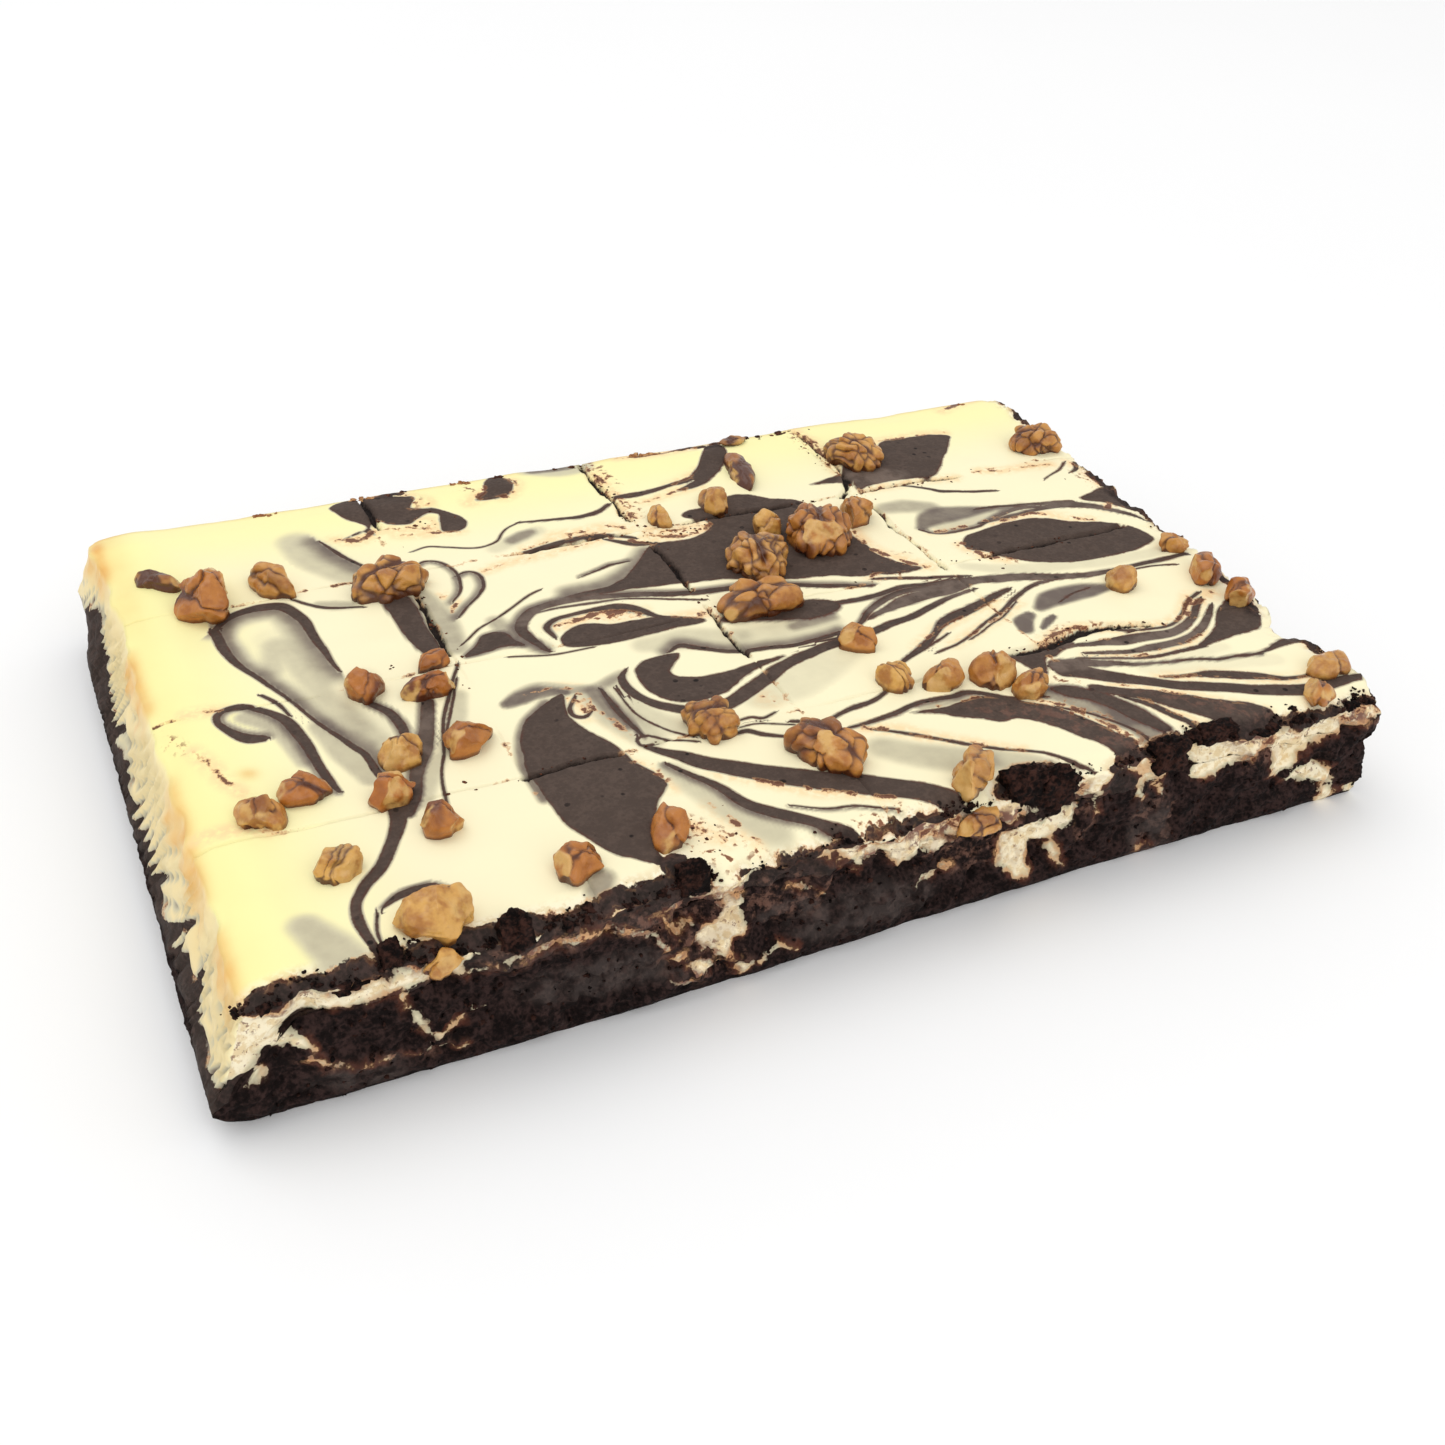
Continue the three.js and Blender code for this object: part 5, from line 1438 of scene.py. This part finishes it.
def make_blocks(shape, material):
    """The torn blocks: rough rounded boxes, joined into one piece."""
    directions, faces, _ = shape
    boxy = directions / (directions**6).sum(1)[:, None] ** (1 / 6)
    points = []
    for n, (x, z, half) in enumerate(BLOCKS):
        dents, crags, grain = noise(*(boxy.T * 1.7 + n)), rough(*(boxy.T * 4 + n)), noise(*(boxy.T * 9 + n))
        swell = 1 + 0.16 * dents + 0.15 * crags + 0.12 * grain
        points.append(boxy * swell[:, None] * half + (x, front_side(x, z) + 1.6, z))
    faces = [faces + n * len(directions) for n in range(len(BLOCKS))]
    piece = make_piece("ridge_blocks", np.vstack(points), faces, material)
    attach(piece, "root")


# Materials

class Nodes:
    """A node tree with short ways to add what the materials here use."""

    def __init__(self, tree):
        self.tree = tree

    def add(self, kind, **settings):
        node = self.tree.nodes.new(kind)
        for key, value in settings.items():
            setattr(node, key, value)
        return node

    def feed(self, socket, value):
        if isinstance(value, bpy.types.NodeSocket):
            self.tree.links.new(value, socket)
        else:
            socket.default_value = value

    def math(self, operation, *values):
        node = self.add("ShaderNodeMath", operation=operation)
        for socket, value in zip(node.inputs, values):
            self.feed(socket, value)
        return node.outputs[0]

    def plus(self, a, b):
        return self.math("ADD", a, b)

    def minus(self, a, b):
        return self.math("SUBTRACT", a, b)

    def times(self, a, b):
        return self.math("MULTIPLY", a, b)

    def larger(self, a, b):
        return self.math("MAXIMUM", a, b)

    def ramp(self, value, low, high, to_low=0.0, to_high=1.0):
        node = self.add("ShaderNodeMapRange", interpolation_type="SMOOTHSTEP")
        keys = ("Value", "From Min", "From Max", "To Min", "To Max")
        for key, number in zip(keys, (value, low, high, to_low, to_high)):
            self.feed(node.inputs[key], number)
        return node.outputs[0]

    def mix(self, factor, a, b):
        node = self.add("ShaderNodeMix", data_type="RGBA")
        for socket, value in zip((node.inputs[0], node.inputs[6], node.inputs[7]), (factor, a, b)):
            self.feed(socket, value)
        return node.outputs[2]

    def noise(self, scale, detail=2.0, roughness=0.5, vector=None):
        node = self.add("ShaderNodeTexNoise")
        node.inputs["Scale"].default_value = scale
        node.inputs["Detail"].default_value = detail
        node.inputs["Roughness"].default_value = roughness
        self.feed(node.inputs["Vector"], vector or self.place())
        return node.outputs["Fac"]

    def cells(self, scale, feature="F1"):
        node = self.add("ShaderNodeTexVoronoi", feature=feature)
        node.inputs["Scale"].default_value = scale
        self.feed(node.inputs["Vector"], self.place())
        return node.outputs["Distance"]

    def bump(self, height, distance, strength=1.0):
        node = self.add("ShaderNodeBump")
        node.inputs["Distance"].default_value = distance
        node.inputs["Strength"].default_value = strength
        self.feed(node.inputs["Height"], height)
        return node.outputs["Normal"]

    def place(self):
        return self.add("ShaderNodeTexCoord").outputs["Object"]

    def attribute(self, name):
        return self.add("ShaderNodeAttribute", attribute_name=name).outputs["Fac"]


def rgb(r, g, b):
    """A colour as it looks, from 0 to 255, as the linear colour that a shader takes."""
    linear = [(c / 255 / 12.92) if c <= 10 else ((c / 255 + 0.055) / 1.055) ** 2.4 for c in (r, g, b)]
    return (*linear, 1.0)


def new_group(name, inputs, outputs):
    tree = bpy.data.node_groups.new(name, "ShaderNodeTree")
    for label, default in inputs.items():
        kind = "NodeSocketColor" if isinstance(default, tuple) else "NodeSocketFloat"
        tree.interface.new_socket(label, in_out="INPUT", socket_type=kind).default_value = default
    for label, kind in outputs.items():
        tree.interface.new_socket(label, in_out="OUTPUT", socket_type=kind)
    nodes = Nodes(tree)
    return nodes, nodes.add("NodeGroupInput").outputs, nodes.add("NodeGroupOutput").inputs


def crumb_group():
    """Moist cocoa crumb: pits, grains and the odd pale speck."""
    inputs = {"Dark": rgb(12, 8, 8), "Light": rgb(58, 41, 39), "Coarse": 1.0}
    outputs = {"Color": "NodeSocketColor", "Height": "NodeSocketFloat"}
    g, given, out = new_group("cocoa crumb", inputs, outputs)
    grain = g.noise(900, 4, 0.65)
    lumps = g.noise(260, 3, 0.6)
    pits = g.ramp(g.cells(520), 0.10, 0.42)
    both = g.plus(g.times(grain, 0.5), g.times(lumps, 0.5))
    g.feed(out["Color"], g.mix(g.times(g.ramp(both, 0.42, 0.62), pits), given["Dark"], given["Light"]))
    fine = g.plus(g.times(grain, 0.6), g.times(pits, 0.5))
    g.feed(out["Height"], g.plus(g.times(fine, given["Coarse"]), g.times(lumps, 0.4)))
    return g.tree


def stroke(g, layer):
    """How deep inside one layer's drawn lines a place is. The guard keeps the middle between two clear."""
    half = g.attribute(f"half_{layer}")
    inside = g.minus(half, g.math("ABSOLUTE", g.attribute(f"across_{layer}")))
    guard = g.minus(g.plus(half, STROKE_GUARD), g.attribute(f"off_{layer}"))
    return g.math("MINIMUM", inside, guard)


# The crust tint is the baked sides' cheese, duller and darker than the top: partly its own baked crust,
# partly painted shade of the side.
MARBLING_TINTS = {
    "Cheese": rgb(252, 243, 204), "Yellow": rgb(252, 246, 172), "Baked": rgb(236, 184, 104),
    "Pale haze": rgb(208, 200, 168), "Haze": rgb(152, 141, 122), "Dark haze": rgb(106, 93, 84),
    "Cocoa": rgb(80, 66, 60), "Rust tint": rgb(100, 54, 40), "Golden tint": rgb(216, 166, 116),
    "Stain tint": rgb(250, 214, 160), "Smear tint": rgb(128, 92, 78), "Bloom tint": rgb(84, 75, 72),
    "Torn": rgb(14, 9, 8), "Thin cocoa": rgb(124, 108, 97), "Crust and side shade": rgb(242, 224, 172),
    "Cut cheese": rgb(250, 240, 212), "Cut shade": rgb(226, 204, 162), "Speck tint": rgb(118, 64, 42),
}
MARBLING_MASKS = {
    "Color": "NodeSocketColor", "Cocoa mask": "NodeSocketFloat", "Crumb mask": "NodeSocketFloat",
    "Cut": "NodeSocketFloat",
}
HAZES = (("Pale haze", 0.02, 0.40), ("Haze", 0.30, 0.70), ("Dark haze", 0.60, 0.95))    # from thin to thick


def drawn_depths(g, cut, fine, broad):
    """How deep inside the marks a place is, the same with uneven edges, and the jitter of fine edges."""
    jitter = g.plus(g.times(g.minus(fine, 0.5), 0.5), g.times(g.minus(broad, 0.5), 0.9))
    marks = g.larger(g.attribute("cocoa"), g.larger(stroke(g, "a"), stroke(g, "b")))
    uneven = g.times(g.minus(g.noise(210, 3, 0.65), 0.5), g.ramp(cut, 0.7, 1.0, 0, 3.5))
    depth = g.plus(g.plus(marks, uneven), g.times(jitter, g.ramp(cut, 0, 1, 0.5, 1.6)))
    return marks, depth, jitter


def ivory_cheese(g, given, cut, broad):
    """Cheese by itself: yellow, crusted and painted a shade darker on the baked sides, crumbled where it
    was cut, baked and stained.
    """
    baked = g.times(g.attribute("bake"), g.ramp(g.noise(60, 3), 0.3, 0.7, 0.6, 1.1))
    cheese = g.mix(g.attribute("yellow"), given["Cheese"], given["Yellow"])
    # On the baked sides the cheese takes the crust tint, which is partly painted shade of the side.
    cheese = g.mix(g.times(g.attribute("crust"), 0.9), cheese, given["Crust and side shade"])
    crumbled = g.mix(g.ramp(g.noise(430, 4, 0.65), 0.40, 0.56), given["Cut shade"], given["Cut cheese"])
    cheese = g.mix(g.times(cut, g.ramp(g.attribute("crust"), 0, 0.1, 0.9, 0)), cheese, crumbled)
    cheese = g.mix(baked, cheese, given["Baked"])
    stain = g.times(g.attribute("stain"), g.ramp(broad, 0.3, 0.6, 0.1, 0.75))
    return g.mix(stain, cheese, given["Stain tint"])


def hazed_cheese(g, given, cheese, cut, marks):
    """The cheese greyed by the cocoa under it and beside it and by painted shade in the valleys of the
    baked sides' creases, and smeared where it was cut.
    """
    # This haze is the grey of cocoa under the cheese and, on the baked sides, painted shade in the valleys
    # of their creases.
    haze = g.times(g.attribute("veil_and_valley_shade"), g.ramp(g.noise(240, 3), 0.25, 0.75, 0.92, 1.06))
    haze = g.larger(haze, g.ramp(g.minus(marks, g.times(cut, 2.0)), -0.8, 0.0, 0, 0.5))
    for tint, thin, thick in HAZES:
        cheese = g.mix(g.ramp(haze, thin, thick), cheese, given[tint])
    smeared = g.times(g.attribute("smear"), g.ramp(g.noise(330, 4, 0.65), 0.4, 0.56))
    cheese = g.mix(smeared, cheese, given["Smear tint"])
    grains = g.times(g.ramp(g.noise(760, 3, 0.6), 0.57, 0.63), g.ramp(g.noise(160, 2), 0.42, 0.60))
    return g.mix(g.times(g.ramp(cut, 0.8, 1.0, 0, 0.8), grains), cheese, given["Smear tint"])


def marked_cocoa(g, given, cut, depth, broad):
    """Cocoa with rusty margins, smears, bloom, thin stretches and pores, and how much of it is covered."""
    rusted = g.times(g.ramp(depth, 0.9, 0.0), g.ramp(broad, 0.42, 0.62, 0.15, 0.65))
    smeared = g.times(g.attribute("smear"), g.ramp(g.noise(300, 4, 0.65), 0.45, 0.62, 0, 0.9))
    bloomed = g.times(g.attribute("bloom"), g.ramp(g.noise(240, 3), 0.35, 0.60, 0.25, 0.75))
    thin = g.times(g.attribute("thin"), g.ramp(g.noise(190, 3), 0.36, 0.60, 0.3, 1.0))
    pores = g.times(g.ramp(g.cells(230), 0.20, 0.13), g.ramp(g.noise(60, 2), 0.45, 0.6))
    pores = g.times(pores, g.ramp(cut, 0.4, 0.9, 1, 0))
    dark = given["Cocoa"]
    layers = ((rusted, "Rust tint"), (smeared, "Smear tint"), (bloomed, "Bloom tint"),
              (thin, "Thin cocoa"), (pores, "Torn"))
    for cover, tint in layers:
        dark = g.mix(cover, dark, given[tint])
    return dark, g.larger(smeared, bloomed)


def rusty_margins(g, given, color, cut, depth):
    """Rusty crumb beside the marks, and golden and rusty borders on the cut faces: colour and rust."""
    beside = g.times(g.ramp(depth, -0.75, -0.1), g.ramp(depth, 0.45, 0.1))
    patchy = g.times(g.ramp(g.noise(150, 2), 0.42, 0.58), g.ramp(g.noise(900, 3), 0.35, 0.55))
    fringe = g.times(g.times(beside, patchy), g.attribute("fringe"))
    color = g.mix(g.times(fringe, 0.6), color, given["Rust tint"])
    stretch = g.times(g.ramp(cut, 0.7, 1.0), g.ramp(g.noise(110, 2), 0.42, 0.58))
    golden = g.times(g.ramp(depth, -1.9, -0.3), g.ramp(depth, 0.5, 0.0, 0, 0.7))
    rusty = g.times(stretch, g.times(g.ramp(depth, -0.3, 0.3), g.ramp(depth, 2.2, 0.5, 0, 0.8)))
    color = g.mix(g.times(stretch, golden), color, given["Golden tint"])
    return g.mix(rusty, color, given["Rust tint"]), rusty


def streaks_and_specks(g, given, color, depth, fine):
    """Broken streaks of rusty crumb along the drawn ones, and fine specks in the speckled stretches."""
    ragged = g.plus(g.times(g.minus(g.noise(330, 3, 0.6), 0.5), 3.2), g.times(g.minus(fine, 0.5), 1.6))
    broken = g.plus(ragged, g.ramp(g.noise(170, 2), 0.40, 0.56, -1.3, 0.1))
    streak = g.plus(g.attribute("rust"), broken)
    shown = g.ramp(depth, 1.3, 0.4)
    color = g.mix(g.times(g.ramp(streak, -0.45, 0.0, 0, 0.65), shown), color, given["Golden tint"])
    color = g.mix(g.times(g.ramp(streak, 0.0, 0.35, 0, 0.9), shown), color, given["Rust tint"])
    speck = g.times(g.times(g.attribute("speck"), shown), g.ramp(g.noise(190, 2), 0.40, 0.55))
    spots = g.noise(540, 2, 0.5)
    color = g.mix(g.times(speck, g.ramp(spots, 0.53, 0.58, 0, 0.6)), color, given["Golden tint"])
    return g.mix(g.times(speck, g.ramp(spots, 0.57, 0.62, 0, 0.9)), color, given["Speck tint"])


def marbling_group():
    """The slab's colours, and masks of where it is cocoa, bare crumb and cut."""
    g, given, out = new_group("marbling", MARBLING_TINTS, MARBLING_MASKS)
    fine, broad, cut = g.noise(1500, 3, 0.6), g.noise(420, 3, 0.6), g.attribute("cut")
    marks, depth, jitter = drawn_depths(g, cut, fine, broad)
    cheese = hazed_cheese(g, given, ivory_cheese(g, given, cut, broad), cut, marks)
    dark, covered = marked_cocoa(g, given, cut, depth, broad)
    cocoa = g.ramp(depth, -0.18, 0.18)
    color, rusty = rusty_margins(g, given, g.mix(cocoa, cheese, dark), cut, depth)
    color = streaks_and_specks(g, given, color, depth, fine)
    torn = g.ramp(g.plus(g.attribute("tear"), jitter), -0.2, 0.3)
    g.feed(out["Color"], g.mix(torn, color, given["Torn"]))
    g.feed(out["Cocoa mask"], g.larger(cocoa, torn))
    bare = g.minus(1.0, g.larger(rusty, covered))
    g.feed(out["Crumb mask"], g.times(g.times(cocoa, cut), bare))
    g.feed(out["Cut"], cut)
    return g.tree


def new_material(name):
    material = bpy.data.materials.new(name)
    material.use_nodes = True
    nodes = Nodes(material.node_tree)
    shader = material.node_tree.nodes["Principled BSDF"]
    return material, nodes, shader


def slab_material(name, marbling, crumb, cocoa, shine):
    """Marbled cheese and brownie: smooth where it is cheese, crumbly where it is cocoa or cut."""
    material, m, shader = new_material(name)
    marble = m.add("ShaderNodeGroup", node_tree=marbling)
    marble.inputs["Cocoa"].default_value = cocoa
    fine, grain = (m.add("ShaderNodeGroup", node_tree=crumb) for _ in range(2))
    fine.inputs["Dark"].default_value = rgb(50, 39, 35)
    fine.inputs["Light"].default_value = rgb(92, 76, 68)
    mask, cut = marble.outputs["Cocoa mask"], marble.outputs["Cut"]
    top = m.mix(m.times(mask, 0.3), marble.outputs["Color"], fine.outputs["Color"])
    crumbly = m.times(marble.outputs["Crumb mask"], 0.75)
    m.feed(shader.inputs["Base Color"], m.mix(crumbly, top, grain.outputs["Color"]))
    m.feed(shader.inputs["Roughness"], m.ramp(mask, 0, 1, 0.42, 0.75))
    relief = m.plus(m.times(mask, m.ramp(cut, 0, 1, 0.35, 1.0)), m.times(cut, 0.25))
    height = m.plus(m.times(grain.outputs["Height"], relief), m.times(m.noise(130, 3), 0.12))
    m.feed(shader.inputs["Normal"], m.bump(height, 0.0005, 0.8))
    shader.inputs["Specular IOR Level"].default_value = shine
    return material


def walnut_material():
    """Walnut: tan skin, dark in the folds and at its foot, the foot partly painted shade, pale where it
    broke, and slightly oily.
    """
    material, m, shader = new_material("walnut")
    tone = m.attribute("tone")
    skin = m.mix(tone, rgb(218, 168, 88), rgb(180, 108, 38))
    skin = m.mix(m.ramp(m.noise(210, 3, 0.55), 0.40, 0.66, 0, 0.75), skin, rgb(152, 86, 28))
    skin = m.mix(m.times(tone, m.ramp(m.noise(95, 2), 0.54, 0.68)), skin, rgb(104, 50, 22))
    # The darkest brown goes in the folds, on the dark pieces, and at each piece's foot, where it is partly
    # painted shade.
    skin = m.mix(m.ramp(m.attribute("skin_dark_and_foot_shade"), 0.30, 0.88, 0, 0.95), skin, rgb(76, 34, 14))
    broken = m.times(m.attribute("broken"), m.ramp(m.noise(260, 3), 0.35, 0.60, 0, 0.85))
    m.feed(shader.inputs["Base Color"], m.mix(broken, skin, rgb(216, 172, 102)))
    m.feed(shader.inputs["Roughness"], m.ramp(m.noise(400, 3), 0.3, 0.7, 0.28, 0.46))
    m.feed(shader.inputs["Normal"], m.bump(m.noise(1100, 4, 0.6), 0.0003, 0.7))
    shader.inputs["Specular IOR Level"].default_value = 0.35
    shader.inputs["Coat Weight"].default_value = 0.35
    shader.inputs["Coat Roughness"].default_value = 0.14
    return material


def crumb_material(name, crumb, dark, light):
    """Loose crumb of the base."""
    material, m, shader = new_material(name)
    grain = m.add("ShaderNodeGroup", node_tree=crumb)
    grain.inputs["Dark"].default_value = dark
    grain.inputs["Light"].default_value = light
    m.feed(shader.inputs["Base Color"], grain.outputs["Color"])
    m.feed(shader.inputs["Roughness"], m.ramp(m.noise(600), 0.3, 0.7, 0.65, 0.9))
    m.feed(shader.inputs["Normal"], m.bump(grain.outputs["Height"], 0.0004))
    shader.inputs["Specular IOR Level"].default_value = 0.08
    return material


def floor_material():
    material, m, shader = new_material("pale floor")
    m.feed(shader.inputs["Base Color"], m.mix(m.noise(3, 2), (0.94, 0.94, 0.94, 1), (0.96, 0.96, 0.96, 1)))
    shader.inputs["Roughness"].default_value = 0.7
    return material


# Stage

CAMERA_PLACE = (-0.1690, -0.3298, 0.2608)
CAMERA_PITCH, CAMERA_YAW, CAMERA_ROLL = (math.radians(a) for a in (35.25, 27.81, 3.70))
LENS, SENSOR = 39.14, 36.0
LAMPS = (("key", (-1.1, 1.2, 3.6), 3.15, 38.0), ("fill", (0.35, -3.5, 2.45), 3.5, 40.0))
WORLD_LIGHT = 0.80
FLOOR_REACH = 3000


def make_camera():
    """Looks down along the slab, turned to its right and rolled a little, as the photograph does."""
    turns = (CAMERA_YAW, CAMERA_PITCH, CAMERA_ROLL)
    sy, cy, sp, cp, sr, cr = (f(a) for a in turns for f in (math.sin, math.cos))
    yaw = np.array([[cy, -sy, 0], [sy, cy, 0], [0, 0, 1]])
    level = np.array([[1, 0, 0], [0, 0, -1], [0, 1, 0]])
    pitch = np.array([[1, 0, 0], [0, cp, -sp], [0, sp, cp]])
    roll = np.array([[cr, -sr, 0], [sr, cr, 0], [0, 0, 1]])
    view = roll @ pitch @ level @ yaw
    data = bpy.data.cameras.new("camera")
    data.lens, data.sensor_width = LENS, SENSOR
    camera = bpy.data.objects.new("camera", data)
    turn = Matrix([view[0], -view[1], -view[2]]).transposed().to_4x4()
    camera.matrix_world = Matrix.Translation(CAMERA_PLACE) @ turn
    bpy.context.scene.collection.objects.link(camera)
    bpy.context.scene.camera = camera


def make_lights():
    for name, spot, size, power in LAMPS:
        data = bpy.data.lights.new(name, "AREA")
        data.size, data.energy = size, power
        lamp = bpy.data.objects.new(name, data)
        lamp.location = spot
        lamp.rotation_euler = (-Vector(spot)).to_track_quat("-Z", "Y").to_euler()
        bpy.context.scene.collection.objects.link(lamp)
    world = bpy.data.worlds.new("studio")
    bpy.context.scene.world = world
    world.use_nodes = True
    world.node_tree.nodes["Background"].inputs["Color"].default_value = (1, 1, 1, 1)
    world.node_tree.nodes["Background"].inputs["Strength"].default_value = WORLD_LIGHT
    bpy.context.scene.view_settings.view_transform = "Standard"


def make_floor():
    """The pale floor that the slab stands on."""
    corners = [(FLOOR_REACH * a, FLOOR_REACH * b, 0) for a, b in ((-1, -1), (1, -1), (1, 1), (-1, 1))]
    floor = make_piece("floor", corners, [[(0, 1, 2, 3)]], floor_material(), shade_smooth=False)


# The object

marbling, crumb = marbling_group(), crumb_group()
brownie_look = slab_material("brownie", marbling, crumb, rgb(30, 19, 18), 0.06)
cheese_look = slab_material("marbled cheese", marbling, crumb, rgb(84, 70, 62), 0.16)
walnut_look = walnut_material()
crumb_look = crumb_material("brownie crumb", crumb, rgb(14, 8, 7), rgb(62, 38, 31))
strewn_look = crumb_material("strewn crumb", crumb, rgb(52, 29, 23), rgb(118, 72, 50))
flake_look = crumb_material("crust flake", crumb, rgb(140, 88, 54), rgb(214, 168, 116))

body = make_base(brownie_look)
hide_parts("brownie_base")
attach(body, "root")

cheese = make_cheese(cheese_look)
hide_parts("cream_cheese_layer")
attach(cheese, "root")

shapes = {level: ball(level) for level in (2, 3, 4, 5, 6)}
for node in sorted(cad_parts):
    if node.startswith("walnut"):
        make_walnut(node, shapes, walnut_look)

draw = np.random.default_rng(5)
large_spots, small_spots = ridge_spots(draw)
scatter("ridge_crumbs", large_spots, shapes[3], crumb_look, 6)
scatter("small_crumbs", small_spots, shapes[2], crumb_look, 8)
scatter("strewn_crumbs", strewn_spots(draw) + flake_spots(DARK_FLAKES, draw), shapes[2], strewn_look, 9)
scatter("rim_flakes", flake_spots(TAN_FLAKES, draw), shapes[3], flake_look, 10)
make_blocks(shapes[4], crumb_look)
scatter("face_crumbs", face_crumb_spots(draw, 900), shapes[2], crumb_look, 7)

make_floor()
make_lights()
make_camera()
